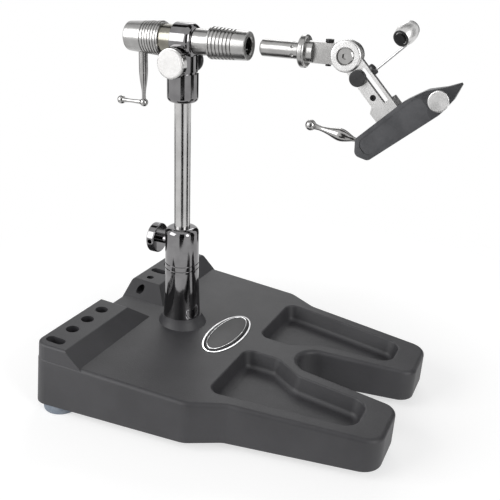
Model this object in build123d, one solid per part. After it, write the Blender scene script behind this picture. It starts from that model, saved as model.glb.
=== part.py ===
from build123d import *
import math
import os

os.makedirs("parts", exist_ok=True)

# Fits shared by the whole vise, in millimetres
SNUG = 0.02                     # radial gap of pieces fixed in one another
TOUCH = 0.01                    # for picking edges by their place
RUNNING = 0.05                  # radial gap of a shaft that turns or slides in its bore
LOOSE = 0.15                    # gap round a cover or screw that only drops in
AIR = 0.3                       # gap between faces that pass each other

# Base, seen from above: it narrows forwards, then splits into two prongs
BASE_LENGTH = 203.5
POST_X = -51.87                  # post axis from the middle of the whole vise
REAR_HALF_WIDTH = 86.3
SIDE_HALF_WIDTH = 80.7
PRONG_ROOT_HALF_WIDTH = 70.3
PRONG_TIP_HALF_WIDTH = 57.8
NOTCH_R = 12.7
NOTCH_MOUTH_HALF_WIDTH = 19.5
REAR_CORNER_R = 8.0
SIDE_CORNER_R = 12.0
TIP_OUTER_R = 11.0
TIP_INNER_R = 9.0

# Places along the base, as shares of its length from the rear edge
POST_SHARE = 0.2536
SIDE_SHARE = 0.4914             # where the sides turn in
ROOT_SHARE = 0.586              # where the prongs start
NOTCH_SHARE = 0.7258            # centre of the notch's round end
BADGE_SHARE = 0.4182
TRAY_REAR_SHARE = 0.5086
TRAY_BEND_SHARE = 0.6172
TRAY_NECK_SHARE = 0.7042
TRAY_FRONT_SHARE = 0.9219

# Base, seen from the side: a wedge, thick at the rear, with walls that widen downwards
FOOT_HEIGHT = 6.0
BASE_THICKNESS = 28.4           # at the post
DECK_SLOPE = 3.3                # degrees that the deck falls to the front
WALL_DRAFT = 2.0
DECK_SKIN = 14.5                # solid part above the hollow underside
WALL = 4.5
DECK_EDGE_R = 2.5
RIM_R = 1.0

# Raised tool shoulders at the rear, with a valley between them
SHOULDER_HEIGHT = 8.9
SHOULDER_TOP_RUN = 21.7
SHOULDER_SLOPE_RUN = 10.3
SHOULDER_EDGE_R = 1.6
SHOULDER_INSET = 0.3            # shoulder walls in from the base's walls
VALLEY_TOP_HALF = 19.8
VALLEY_FLOOR_HALF = 8.4

# Tool holes in the shoulders
TOOL_ROW_RUN = 10.2             # rear edge to the row of holes
TOOL_HOLE_R = 4.0
TOOL_HOLE_DEPTH = 18.0
TOOL_HOLE_FIRST_Y = 31.7
TOOL_HOLE_PITCH = 14.9
TOOL_HOLE_COUNT = 3
SLOT_LENGTH = 12.6
SLOT_WIDTH = 6.2
NEAR_SLOT_Y = 77.2
FAR_SLOT_Y = 39.1
NEEDLE_HOLE_R = 2.5
NEEDLE_HOLE_DEPTH = 14.0
NEEDLE_HOLE_Y = 26.8
FAR_HOLE_Y = 53.7
FAR_HOLE_COUNT = 2
SIDE_HOLE_R = 2.6
SIDE_HOLE_DEPTH = 8.0

# Finger trays sunk into the prongs
TRAY_DEPTH = 10.5
TRAY_DRAFT = 16.0
TRAY_FLOOR_R = 3.5
TRAY_OUTER_REAR_Y = 63.7
TRAY_INNER_REAR_Y = 9.8
TRAY_NECK_Y = 21.0
TRAY_INNER_FRONT_Y = 25.3
TRAY_OUTER_FRONT_Y = 51.6
TRAY_REAR_R = 7.0
TRAY_FRONT_R = 10.0

# Underside: cover, ballast, feet and their screws
COVER_THICKNESS = 2.5
COVER_LEDGE = 2.2
BALLAST_REAR_RUN = 18.0
BALLAST_LENGTH = 84.0
BALLAST_HALF_WIDTH = 52.0
BALLAST_THICKNESS = 8.0
FOOT_R = 11.0
FOOT_INSET = 11.0               # foot centre in from the base's edges
PILLAR_R = 5.0
FOOT_SCREW_R = 2.0
FOOT_SCREW_HEAD_R = 4.0
FOOT_SCREW_HEAD_HEIGHT = 2.0
FOOT_SCREW_GRIP = 5.5
COVER_SCREW_R = 1.5
COVER_SCREW_HEAD_R = 3.0
COVER_SCREW_HEAD_HEIGHT = 1.6
COVER_SCREW_INSET = 14.0        # in from the base's sides

# Oval badge on the deck
BADGE_HALF_LENGTH = 26.6
BADGE_HALF_WIDTH = 11.5
BADGE_RIM = 1.0
BADGE_HEIGHT = 1.2
BADGE_SINK = 0.8

# Column, post and the screw that clamps the post
POST_R = 5.0
BOSS_HEIGHT = 5.6
BOSS_MID_SPREAD = 0.3           # of the boss's spread and height, at the middle of its curve
BOSS_MID_RISE = 0.4
BOSS_FOOT_R = 17.0
BOSS_TOP_R = 13.0
COLUMN_FOOT_R = 12.0
COLUMN_R = 10.7
COLUMN_HEIGHT = 60.2
COLUMN_TOP_R = 4.0
COLUMN_FLARE_HEIGHT = 31.3
COLUMN_RING_HEIGHTS = (32.6, 35.9)
RING_WIDTH = 0.7
RING_DEPTH = 0.4
COLUMN_FLOOR = 12.0
BOLT_R = 4.0
BOLT_HEAD_R = 6.5
BOLT_HEAD_HEIGHT = 5.0
BOLT_BITE = 9.0
WASHER_R = 10.0
WASHER_THICKNESS = 1.6
POST_ENGAGED = 21.0
SCREW_HEIGHT = 49.4             # column foot to the thumbscrew axis
THUMB_SHANK_R = 3.0
THUMB_HEAD_R = 9.5
THUMB_HEAD_GAP = 15.6           # post axis to the inner face of the thumbscrew head
THUMB_HEAD_THICKNESS = 5.3
THUMB_EDGE_R = 0.8
TOMMY_R = 1.5
PAD_R = 2.5
PAD_LENGTH = 2.0

# Head bracket on top of the post
AXIS_HEIGHT = 178.6             # deck to the rotary axis
SLEEVE_R = 9.3
SLEEVE_BOTTOM = 143.6           # deck to the bottom of the sleeve
SLEEVE_LENGTH = 16.6
SLEEVE_EDGE_R = 3.0
NECK_GROOVE_WIDTH = 1.2
NECK_GROOVE_R = 8.1
NECK_R = 8.8
HOUSING_R = 10.0
HOUSING_REAR = -4.0             # from the post axis
HOUSING_FRONT = 9.0
HOUSING_NOSE_R = 3.4
HOUSING_EDGE_R = 0.5
SLIT_WIDTH = 1.2
SLIT_FOOT = 3.6                 # tension stud axis down to the foot of the slit
POST_SEAT_WALL = 0.4
GRUB_R = 2.0
GRUB_LENGTH = 3.6
GRUB_HEIGHT = 8.0

# Tension screw under the spindle, with its two knobs
TENSION_DROP = 11.8             # rotary axis down to the tension screw
TENSION_STUD_R = 2.5
TENSION_KNOB_R = 8.6
TENSION_KNOB_BACK = 10.0
TENSION_KNOB_THICKNESS = 4.6
CAP_R = 8.0
CAP_THICKNESS = 2.9
CAP_SINK = 2.0
CAP_CROWN = 0.9
COUNTER_KNOB_R = 7.2
COUNTER_KNOB_BACK = 9.4
COUNTER_KNOB_THICKNESS = 3.4
STUD_SHARE = 0.7                # of the counter knob's thickness, as its bore below
STUD_BORE_SHARE = 0.8
COUNTER_EDGE_R = 1.2

# Spindle, its bushes and the barrel that turns it
SPINDLE_R = 5.0
SPINDLE_REAR = -32.4
SPINDLE_FRONT = 15.0
BUSH_R = 6.5
BUSH_FLANGE = 5.6
COLLAR_R = 8.4
BARREL_REAR = -35.8
BARREL_FRONT = -11.9
BARREL_REAR_R = 8.4
BARREL_FRONT_R = 10.0
BARREL_EDGE_R = 1.3
BARREL_LIP = 0.7
GROOVE_COUNT = 7
BARREL_GROOVE_FIRST = -24.2
BARREL_GROOVE_PITCH = 1.85
GROOVE_WIDTH = 0.8
GROOVE_DEPTH = 0.45
SET_SCREW_R = 1.6
SET_SCREW_LENGTH = 3.0
SET_SCREW_STATION = -18.0

# Crank
CRANK_STATION = -26.7
CRANK_DROP = 38.2               # rotary axis to the crank's elbow ball
CRANK_ROOT_R = 2.7
CRANK_WAIST_R = 1.25
CRANK_BALL_R = 2.5
CRANK_SEAT = 6.2                # rotary axis to the inner end of the crank arm
HANDLE_LENGTH = 16.0
HANDLE_GAP = 0.1
HANDLE_WAIST_R = 1.15
HANDLE_BALL_R = 2.6
HANDLE_PEG_R = 0.9
HANDLE_PEG_LENGTH = 1.6

# Quick-change chuck
CHUCK_NECK_R = 7.3
CHUCK_NECK_FRONT = 22.0
CHUCK_TUBE_R = 5.9
CHUCK_MOUTH = 41.7
CHUCK_BORE_BACK = 17.5
SLEEVE_REAR = 18.6
CHUCK_REAR_R = 9.0
CHUCK_MOUTH_R = 7.8
SLEEVE_STEP = 28.5
SLEEVE_BORE_R = 6.7
NOSE_RING_LENGTH = 2.0
CHUCK_GROOVE_FIRST = 20.0
CHUCK_GROOVE_PITCH = 2.2
CHUCK_GROOVE_WIDTH = 1.1
CHUCK_GROOVE_DEPTH = 0.6
MOUTH_CHAMFER = 0.6
BALL_R = 1.0
BALL_COUNT = 3
COIL_R = 6.6
COIL_WIRE_R = 0.3
COIL_TURNS = 4

# Head shaft that plugs into the chuck, shown drawn out
SHAFT_R = 4.6
SHAFT_TIP = 49.4                # from the post axis, along the rotary axis
FLANGE_REAR = 72.3
FLANGE_THICKNESS = 3.7
FLANGE_R = 8.7
FLANGE_EDGE_R = 1.2
TIP_CHAMFER = 0.8
DIMPLE_SETBACK = 4.1            # flange back to the ring of ball dimples
DIMPLE_COUNT = 6
DIMPLE_R = 1.1
BAR_R = 5.8
BAR_END = 91.5
FLAT_START = 79.7
KNUCKLE_STATION = 99.0
KNUCKLE_R = 8.2
EYE_R = 6.9
EYE_NEAR_Y = -2.4
EYE_FAR_Y = 3.8
LOCK_SCREW_STATION = 87.5
LOCK_SCREW_R = 1.5
LOCK_HEAD_R = 2.2
LOCK_HEAD_HEIGHT = 1.3
LOCK_END = 0.8

# Pivot screw of the knuckle
PIVOT_R = 2.5
PIVOT_HEAD_R = 4.3
PIVOT_HEAD_HEIGHT = 2.4
PIVOT_RECESS_R = 4.8
PIVOT_RECESS_DEPTH = 2.2
PIVOT_SOCKET = 3.0
PIVOT_SOCKET_DEPTH = 1.4
PIVOT_NUT_R = 4.2
PIVOT_NUT_THICKNESS = 3.0
PIVOT_WASHER_R = 5.0
PIVOT_WASHER_THICKNESS = 0.8

# Slotted arm between knuckle and jaws, measured along and across itself
ARM_TILT = 46.5                 # degrees below the rotary axis
ARM_LEFT = -5.1
ARM_RIGHT = 5.7
ARM_NEAR_Y = -6.4
ARM_THICKNESS = 3.1
HUB_NEAR_Y = -7.9
ARM_SLOT_ACROSS = 2.7
ARM_SLOT_WIDTH = 2.8
ARM_SLOT_START = 10.0
ARM_SLOT_END = 31.4
JAW_SEAT = 36.3                 # knuckle axis to the foot of the arm
ARM_FOOT_HEIGHT = 5.6
ARM_FOOT_LEFT = -7.9
ARM_FOOT_FAR_Y = 5.2
ARM_FOOT_R = 2.2
ARM_KNOB_ALONG = 12.7
ARM_KNOB_ACROSS = -1.4
ARM_KNOB_R = 4.3
ARM_KNOB_THICKNESS = 3.3
ARM_KNOB_SHANK_R = 1.25
ARM_GRUB_ALONG = 25.3
ARM_GRUB_ACROSS = -1.7
ARM_GRUB_R = 1.6
ARM_GRUB_LENGTH = 2.2
FOOT_PIN_R = 1.0
FOOT_PIN_HEAD_R = 1.35
FOOT_PIN_HEAD_HEIGHT = 1.2
FOOT_PIN_BITE = 5.0
FOOT_PIN_Y = -1.7
FOOT_PIN_ACROSS = (-5.4, 2.9)

# Material clip on its wire
FERRULE_ALONG = 13.9
FERRULE_R = 2.9
FERRULE_HEIGHT = 2.0
FERRULE_PEG_R = 1.0
FERRULE_PEG_LENGTH = 1.0
WIRE_ALONG = 15.0
WIRE_R = 0.6
WIRE_LENGTH = 20.1
CLIP_ACROSS = 30.3              # arm axis to the clip's centre
CLIP_ALONG = 10.6
CLIP_AXIS = (0.28, 0.86, 0.42)
CLIP_R = 5.3
CLIP_END_R = 4.2
CLIP_LENGTH = 10.0
CLIP_CAP_LENGTH = 1.4
CLIP_RING_R = 3.7
CLIP_RING_WIRE_R = 0.45

# Jaws, measured across the arm (towards the tip) and along it (downwards)
JAW_HALF_THICKNESS = 6.2
JAW_GAP = 0.1
JAW_RELIEF = 2.0
JAW_HEEL = -28.4
JAW_HEEL_TOP = -22.4
JAW_HEEL_BOTTOM = -24.2
JAW_BACK_END = 9.9
JAW_BROW = 21.3
JAW_BROW_DROP = 2.5
JAW_NOSE = 29.9
JAW_NOSE_DROP = 7.3
JAW_TIP = 36.6
JAW_TIP_DROP = 10.0
JAW_TIP_HEIGHT = 1.1
JAW_CHIN = 28.9
JAW_CHIN_DROP = 14.5
JAW_BELLY = 19.7
JAW_BELLY_DROP = 16.2
JAW_HEEL_DROP = 13.4
JAW_HEEL_MID_DROP = 6.7
JAW_HEEL_R = 3.4
JAW_TAPER_START = 15.6
JAW_TIP_HALF_THICKNESS = 1.3
PANEL_DEPTH = 0.4
PANEL_REAR = -23.4
PANEL_FRONT = 17.7
PANEL_TOP_DROP = 2.1
PANEL_BOTTOM_DROP = 12.1
PANEL_R = 4.0
JAW_EDGE = 0.5
ROCKER_R = 1.25
ROCKER_INSET = 1.5
JAW_SCREW_ACROSS = 23.7
JAW_SCREW_DROP = 10.5
JAW_SCREW_R = 1.5
JAW_SCREW_LOOSE = 0.45
JAW_KNOB_R = 5.3
JAW_KNOB_THICKNESS = 3.2
JAW_KNOB_SEAT_Y = -4.4
JAW_NUT_R = 2.8
JAW_NUT_THICKNESS = 2.0
JAW_NUT_PLAY = 0.6
JAW_COIL_TURNS = 3
JAW_COIL_R = 2.2
JAW_COIL_WIRE_R = 0.3
JAW_COIL_SEAT = 2.6
RELIEF_START = 3.0

# Cam lever in the heel of the jaws
CAM_ACROSS = -20.8
CAM_DROP = 5.0
CAM_R = 4.0
CAM_PIN_R = 1.2
CAM_NEAR_Y = -3.6
CAM_PEAK_Y = 0.95
CAM_TILT = 14.0                 # degrees that the cam's face leans
CAM_FOLLOWER_R = 1.0
CAM_PLAY = 0.2
LEVER_LENGTH = 31.9
LEVER_RISE = 10.5                # degrees above level, pointing back
LEVER_ROOT_R = 1.7
LEVER_BULGE_R = 3.5
LEVER_WAIST_R = 1.5
LEVER_BALL_R = 3.0
LEVER_ROOM_DROP = 11.9          # how far down the heel is open for the lever

# Places worked out from the sizes
REAR_X = POST_X - POST_SHARE * BASE_LENGTH
TIP_X = REAR_X + BASE_LENGTH
FALL = math.radians(DECK_SLOPE)
UNDERSIDE = FOOT_HEIGHT
DECK = UNDERSIDE + BASE_THICKNESS
CAVITY_TOP = DECK - DECK_SKIN
COVER_TOP = UNDERSIDE + COVER_THICKNESS
COLUMN_FOOT = DECK + BOSS_HEIGHT
COLUMN_TOP = COLUMN_FOOT + COLUMN_HEIGHT
POST_BOTTOM = COLUMN_TOP - POST_ENGAGED
AXIS_Z = DECK + AXIS_HEIGHT
SLEEVE_FOOT = DECK + SLEEVE_BOTTOM
SLEEVE_TOP = SLEEVE_FOOT + SLEEVE_LENGTH
POST_TOP = SLEEVE_TOP - POST_SEAT_WALL
TENSION_Z = AXIS_Z - TENSION_DROP
ARM_FAR_Y = ARM_NEAR_Y + ARM_THICKNESS
KNUCKLE = Vector(POST_X + KNUCKLE_STATION, 0, AXIS_Z)
LEAN = math.radians(ARM_TILT)
ACROSS = Vector(math.sin(LEAN), 0, math.cos(LEAN))
ALONG = Vector(math.cos(LEAN), 0, -math.sin(LEAN))
UP = (0, 0, 1)
DOWN = (0, 0, -1)
FORWARD = (1, 0, 0)
BACK = (-1, 0, 0)
NEAR = (0, -1, 0)
FAR = (0, 1, 0)
ARM_PLANE = Plane(origin=KNUCKLE, x_dir=ACROSS, z_dir=NEAR)
JAW_TOP_PLANE = Plane(origin=KNUCKLE + ALONG * JAW_SEAT, x_dir=ACROSS, z_dir=ALONG)


def rod(start, direction, length, radius):
    """A plain round bar from a point along a direction."""
    bar = Cylinder(radius, length, align=(Align.CENTER, Align.CENTER, Align.MIN))
    return Plane(origin=start, z_dir=direction) * bar


def tube(start, direction, length, outer, inner):
    """A round bar with a bore right through it."""
    return rod(start, direction, length, outer) - rod(start, direction, length, inner)


def area(points):
    """A flat face from its corner points."""
    return make_face(Polyline(*points, close=True))


def slab(plane, face, low, high):
    """A flat face made solid between two distances from its plane."""
    return plane.offset(low) * extrude(face, high - low)


def turned(start, direction, profile):
    """A turned piece from pairs of distance along its axis and radius."""
    points = [(profile[0][0], 0)] + list(profile) + [(profile[-1][0], 0)]
    face = area([(radius, 0, along) for along, radius in points])
    return Plane(origin=start, z_dir=direction) * revolve(face, Axis.Z)


def smooth_turned(start, direction, profile):
    """A turned piece whose outline runs smoothly through its points."""
    curve = Spline(*[(radius, 0, along) for along, radius in profile])
    first, last = profile[0][0], profile[-1][0]
    ends = Polyline((profile[-1][1], 0, last), (0, 0, last), (0, 0, first), (profile[0][1], 0, first))
    return Plane(origin=start, z_dir=direction) * revolve(make_face(curve + ends), Axis.Z)


def ball_ended(start, direction, profile, neck_r, ball_at, ball_r):
    """A turned handle: a smooth stem through its points, then a neck and a ball."""
    neck = (neck_r, 0, ball_at - math.sqrt(ball_r ** 2 - neck_r ** 2))
    tip = (0, 0, ball_at + ball_r)
    stem = Spline(*[(radius, 0, along) for along, radius in profile], neck)
    ball = ThreePointArc(neck, (ball_r, 0, ball_at), tip)
    ends = Polyline(tip, (0, 0, profile[0][0]), (profile[0][1], 0, profile[0][0]))
    return Plane(origin=start, z_dir=direction) * revolve(make_face(stem + ball + ends), Axis.Z)


def corner(sketch, x, y):
    """The corner of a flat outline nearest to a point."""
    return sketch.vertices().sort_by_distance((x, y, 0))[0]


def station(along, y=0.0, z=0.0):
    """A point at a distance from the post along the rotary axis."""
    return (POST_X + along, y, AXIS_Z + z)


def on_arm(across, along, y):
    """A point given across the arm, along it from the knuckle, and in depth."""
    return KNUCKLE + ACROSS * across + ALONG * along + Vector(0, y, 0)


def plate(face, near_y, far_y):
    """A face drawn across and up the arm, made solid between two depths."""
    return slab(ARM_PLANE, face, -far_y, -near_y)


def socket_cut(start, direction, across_flats, depth):
    """A hexagon recess for a key."""
    face = RegularPolygon(across_flats / 2, 6, major_radius=False)
    return Plane(origin=start, z_dir=direction) * extrude(face, depth)


def coil(start, direction, radius, wire_r, pitch, turns):
    """A spring of round wire, its path half-turn arcs on a helix."""
    def point(halves):
        angle = halves * math.pi
        return (radius * math.cos(angle), radius * math.sin(angle), pitch * halves / 2)

    path = Wire([ThreePointArc(point(i), point(i + 0.5), point(i + 1)).edge() for i in range(2 * turns)])
    section = Plane(origin=point(0), z_dir=path % 0) * Circle(wire_r)
    return Plane(origin=start, z_dir=direction) * sweep(section, path)


def base_x(share):
    """A place along the level base, from its share of the length."""
    return REAR_X + share * BASE_LENGTH


def sloped(shape):
    """A shape drawn on a level deck, turned about the foot of the post to the deck's slope."""
    return Pos(POST_X, 0, DECK) * Rot(0, DECK_SLOPE, 0) * Pos(-POST_X, 0, -DECK) * shape


def save(name, shape):
    """Write one piece, as one solid or a group of solids."""
    solids = shape.solids()
    export_step(solids[0] if len(solids) == 1 else Compound(children=list(solids)), f"parts/{name}.step")


# Base body: moulded slab with two finger trays, tool shoulders and a boss for the column
side_x = base_x(SIDE_SHARE)
root_x = base_x(ROOT_SHARE)
half_outline = [
    (REAR_X, REAR_HALF_WIDTH),
    (side_x, SIDE_HALF_WIDTH),
    (root_x, PRONG_ROOT_HALF_WIDTH),
    (TIP_X, PRONG_TIP_HALF_WIDTH),
]
full = area(half_outline + [(x, -y) for x, y in reversed(half_outline)])
for (x, y), radius in zip(half_outline, (REAR_CORNER_R, SIDE_CORNER_R, SIDE_CORNER_R, TIP_OUTER_R)):
    full = fillet([corner(full, x, y), corner(full, x, -y)], radius)
notch_x = base_x(NOTCH_SHARE)
notch = Pos(notch_x, 0) * Circle(NOTCH_R) + area([
    (notch_x, -NOTCH_R), (TIP_X, -NOTCH_MOUTH_HALF_WIDTH),
    (TIP_X, NOTCH_MOUTH_HALF_WIDTH), (notch_x, NOTCH_R),
])
outline = full - notch
outline = fillet([corner(outline, TIP_X, NOTCH_MOUTH_HALF_WIDTH),
                  corner(outline, TIP_X, -NOTCH_MOUTH_HALF_WIDTH)], TIP_INNER_R)

body = Pos(0, 0, DECK) * extrude(outline, 2 * BASE_THICKNESS, dir=DOWN, taper=-WALL_DRAFT)
body = fillet(body.faces().sort_by(Axis.Z)[-1].outer_wire().edges(), DECK_EDGE_R)

shoulder_top = DECK + SHOULDER_HEIGHT
ridge_x = REAR_X + SHOULDER_TOP_RUN
slope = SHOULDER_SLOPE_RUN / SHOULDER_HEIGHT
shoulder_root = DECK - 2 * DECK_EDGE_R
shoulder_side = [
    (REAR_X - WALL, shoulder_root), (REAR_X - WALL, shoulder_top), (ridge_x, shoulder_top),
    (ridge_x + slope * (shoulder_top - shoulder_root), shoulder_root),
]
wedge = Plane.XZ * extrude(area(shoulder_side), REAR_HALF_WIDTH, both=True)
shoulder_plan = offset(full, -SHOULDER_INSET - SHOULDER_HEIGHT * math.tan(math.radians(WALL_DRAFT)))
shoulder_block = extrude(shoulder_plan, shoulder_top - shoulder_root, dir=DOWN, taper=-WALL_DRAFT)
shoulders = wedge & Pos(0, 0, shoulder_top) * shoulder_block
flank = (VALLEY_TOP_HALF - VALLEY_FLOOR_HALF) / SHOULDER_HEIGHT
valley_root = VALLEY_FLOOR_HALF - flank * (DECK - shoulder_root)
valley = area([(-valley_root, shoulder_root), (valley_root, shoulder_root),
               (VALLEY_TOP_HALF, shoulder_top), (-VALLEY_TOP_HALF, shoulder_top)])
shoulders -= Plane.YZ.offset(REAR_X) * extrude(valley, POST_X - REAR_X)
for half in shoulders.solids():
    top = half.faces().sort_by(Axis.Z)[-1]
    body += half.fillet(SHOULDER_EDGE_R, top.edges())

tray_half = [
    (base_x(TRAY_REAR_SHARE), TRAY_OUTER_REAR_Y), (base_x(TRAY_REAR_SHARE), TRAY_INNER_REAR_Y),
    (base_x(TRAY_BEND_SHARE), TRAY_INNER_REAR_Y), (base_x(TRAY_NECK_SHARE), TRAY_NECK_Y),
    (base_x(TRAY_FRONT_SHARE), TRAY_INNER_FRONT_Y), (base_x(TRAY_FRONT_SHARE), TRAY_OUTER_FRONT_Y),
]
tray_face = area(tray_half)
for (x, y), radius in zip(tray_half, (TRAY_REAR_R,) * 4 + (TRAY_FRONT_R,) * 2):
    tray_face = fillet(corner(tray_face, x, y), radius)
tray = Pos(0, 0, DECK) * extrude(tray_face, TRAY_DEPTH, dir=DOWN, taper=TRAY_DRAFT)
tray = fillet(tray.faces().sort_by(Axis.Z)[0].edges(), TRAY_FLOOR_R)
for cut in (tray, mirror(tray, Plane.XZ)):
    body -= cut
rims = body.edges().filter_by_position(Axis.Z, DECK - TOUCH, DECK + TOUCH)
rims = rims.filter_by_position(Axis.X, base_x(TRAY_REAR_SHARE) - RIM_R, base_x(TRAY_FRONT_SHARE) + RIM_R)
rims = [edge for edge in rims if abs(edge.center().Y) < TRAY_OUTER_REAR_Y]
body = fillet([e for e in rims if tray_face.bounding_box().min.Y - RIM_R < abs(e.center().Y)], RIM_R)

hole_x = REAR_X + TOOL_ROW_RUN
tool_ys = [-TOOL_HOLE_FIRST_Y - i * TOOL_HOLE_PITCH for i in range(TOOL_HOLE_COUNT)]
tool_ys += [FAR_HOLE_Y + i * TOOL_HOLE_PITCH for i in range(FAR_HOLE_COUNT)]
for y in tool_ys:
    body -= rod((hole_x, y, shoulder_top), DOWN, TOOL_HOLE_DEPTH, TOOL_HOLE_R)
body -= rod((hole_x, NEEDLE_HOLE_Y, shoulder_top), DOWN, NEEDLE_HOLE_DEPTH, NEEDLE_HOLE_R)
for y in (-NEAR_SLOT_Y, FAR_SLOT_Y):
    body -= Pos(hole_x, y, shoulder_top) * extrude(SlotOverall(SLOT_LENGTH, SLOT_WIDTH), -TOOL_HOLE_DEPTH)
side_hole_y = VALLEY_FLOOR_HALF + flank * SHOULDER_HEIGHT / 2 - SIDE_HOLE_R
body -= rod((hole_x, side_hole_y, DECK + SHOULDER_HEIGHT / 2), FAR, SIDE_HOLE_DEPTH, SIDE_HOLE_R)

badge_x = base_x(BADGE_SHARE)
badge_seat = Ellipse(BADGE_HALF_WIDTH + LOOSE, BADGE_HALF_LENGTH + LOOSE)
body -= Pos(badge_x, 0, DECK) * extrude(badge_seat, -BADGE_SINK)
body -= slab(Plane.XY, offset(outline, -WALL), -BASE_THICKNESS, CAVITY_TOP)

body = sloped(body)
boss_drop = 2 * BOSS_FOOT_R * math.tan(FALL)
boss_mid_r = BOSS_TOP_R + (BOSS_FOOT_R - BOSS_TOP_R) * BOSS_MID_SPREAD
boss_mid = (boss_mid_r, 0, BOSS_HEIGHT * BOSS_MID_RISE)
boss_curve = ThreePointArc((BOSS_FOOT_R, 0, -boss_drop), boss_mid, (BOSS_TOP_R, 0, BOSS_HEIGHT))
boss_ends = Polyline(
    (BOSS_TOP_R, 0, BOSS_HEIGHT), (0, 0, BOSS_HEIGHT), (0, 0, -boss_drop), (BOSS_FOOT_R, 0, -boss_drop))
body += Pos(POST_X, 0, DECK) * revolve(make_face(boss_curve + boss_ends), Axis.Z)
body -= Pos(0, 0, UNDERSIDE) * Box(2 * BASE_LENGTH, 3 * REAR_HALF_WIDTH, 3 * BASE_THICKNESS,
                                   align=(Align.CENTER, Align.CENTER, Align.MAX))
under_shift = Pos(-BASE_THICKNESS * math.sin(FALL), 0)
body -= slab(Plane.XY, under_shift * offset(outline, -COVER_LEDGE), UNDERSIDE, COVER_TOP)
prong_mid_y = (PRONG_TIP_HALF_WIDTH + NOTCH_MOUTH_HALF_WIDTH) / 2
foot_spots = [(REAR_X + FOOT_INSET, side * (REAR_HALF_WIDTH - FOOT_INSET)) for side in (-1, 1)]
foot_spots += [(TIP_X - FOOT_INSET - FOOT_HEIGHT, side * prong_mid_y) for side in (-1, 1)]
cover_y = SIDE_HALF_WIDTH - COVER_SCREW_INSET
cover_spots = [(x, side * cover_y) for x in (POST_X, side_x) for side in (-1, 1)]
for x, y in foot_spots + cover_spots:
    roof = CAVITY_TOP - (x - POST_X) * math.tan(FALL)
    body += rod((x, y, COVER_TOP), UP, roof + RIM_R - COVER_TOP, PILLAR_R)
for x, y in foot_spots:
    body -= rod((x, y, COVER_TOP), UP, FOOT_SCREW_GRIP, FOOT_SCREW_R + SNUG)
for x, y in cover_spots:
    body -= rod((x, y, COVER_TOP), UP, FOOT_SCREW_GRIP, COVER_SCREW_R + SNUG)
seat_r = WASHER_R + 2 * AIR
bolt_seat = CAVITY_TOP + 2 * seat_r * math.tan(FALL)
body -= rod((POST_X, 0, COVER_TOP), UP, bolt_seat - COVER_TOP, seat_r)
body -= rod((POST_X, 0, bolt_seat), UP, COLUMN_FOOT - bolt_seat, BOLT_R + LOOSE)
save("base_body", body)

# Badge: a bare oval plate in a thin bright rim, sunk into the deck
badge_floor = Pos(badge_x, 0, DECK - BADGE_SINK)
badge_face = Ellipse(BADGE_HALF_WIDTH - BADGE_RIM, BADGE_HALF_LENGTH - BADGE_RIM)
rim_hole = Ellipse(BADGE_HALF_WIDTH - BADGE_RIM + SNUG, BADGE_HALF_LENGTH - BADGE_RIM + SNUG)
badge_rim = extrude(Ellipse(BADGE_HALF_WIDTH, BADGE_HALF_LENGTH) - rim_hole, BADGE_HEIGHT)
save("badge_rim", sloped(badge_floor * badge_rim))
save("badge_plate", sloped(badge_floor * extrude(badge_face, BADGE_HEIGHT)))

# Bottom cover, ballast plate, feet and their screws
cover = slab(Plane.XY, under_shift * offset(outline, -COVER_LEDGE - LOOSE), UNDERSIDE, COVER_TOP)
for x, y in foot_spots:
    cover -= rod((x, y, UNDERSIDE), UP, COVER_THICKNESS, FOOT_SCREW_R + LOOSE)
for x, y in cover_spots:
    cover -= rod((x, y, UNDERSIDE), UP, COVER_THICKNESS, COVER_SCREW_R + LOOSE)
    cover -= rod((x, y, UNDERSIDE), UP, COVER_SCREW_HEAD_HEIGHT, COVER_SCREW_HEAD_R + LOOSE)
save("bottom_cover", cover)

ballast_x = REAR_X + BALLAST_REAR_RUN + BALLAST_LENGTH / 2
ballast_face = Pos(ballast_x, 0) * Rectangle(BALLAST_LENGTH, 2 * BALLAST_HALF_WIDTH)
ballast_face -= Pos(POST_X, 0) * Circle(seat_r)
save("ballast_plate", slab(Plane.XY, ballast_face, COVER_TOP, COVER_TOP + BALLAST_THICKNESS))

feet = Part()
foot_screws = Part()
for x, y in foot_spots:
    foot = fillet(rod((x, y, 0), UP, FOOT_HEIGHT, FOOT_R).edges().sort_by(Axis.Z)[0], RIM_R)
    foot -= rod((x, y, 0), UP, FOOT_SCREW_HEAD_HEIGHT + RIM_R, FOOT_SCREW_HEAD_R + LOOSE)
    feet += foot - rod((x, y, 0), UP, FOOT_HEIGHT, FOOT_SCREW_R + LOOSE)
    screw = rod((x, y, RIM_R), UP, FOOT_SCREW_HEAD_HEIGHT, FOOT_SCREW_HEAD_R)
    screw += rod((x, y, RIM_R), UP, COVER_TOP + FOOT_SCREW_GRIP - 2 * RIM_R, FOOT_SCREW_R)
    foot_screws += screw - socket_cut((x, y, RIM_R), UP, FOOT_SCREW_R * 1.5, RIM_R)
save("rubber_feet", feet)
save("foot_screws", foot_screws)

cover_screws = Part()
for x, y in cover_spots:
    screw = rod((x, y, UNDERSIDE), UP, COVER_SCREW_HEAD_HEIGHT, COVER_SCREW_HEAD_R)
    cover_screws += screw + rod((x, y, UNDERSIDE), UP, COVER_THICKNESS + FOOT_SCREW_GRIP - AIR, COVER_SCREW_R)
save("cover_screws", cover_screws)

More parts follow.
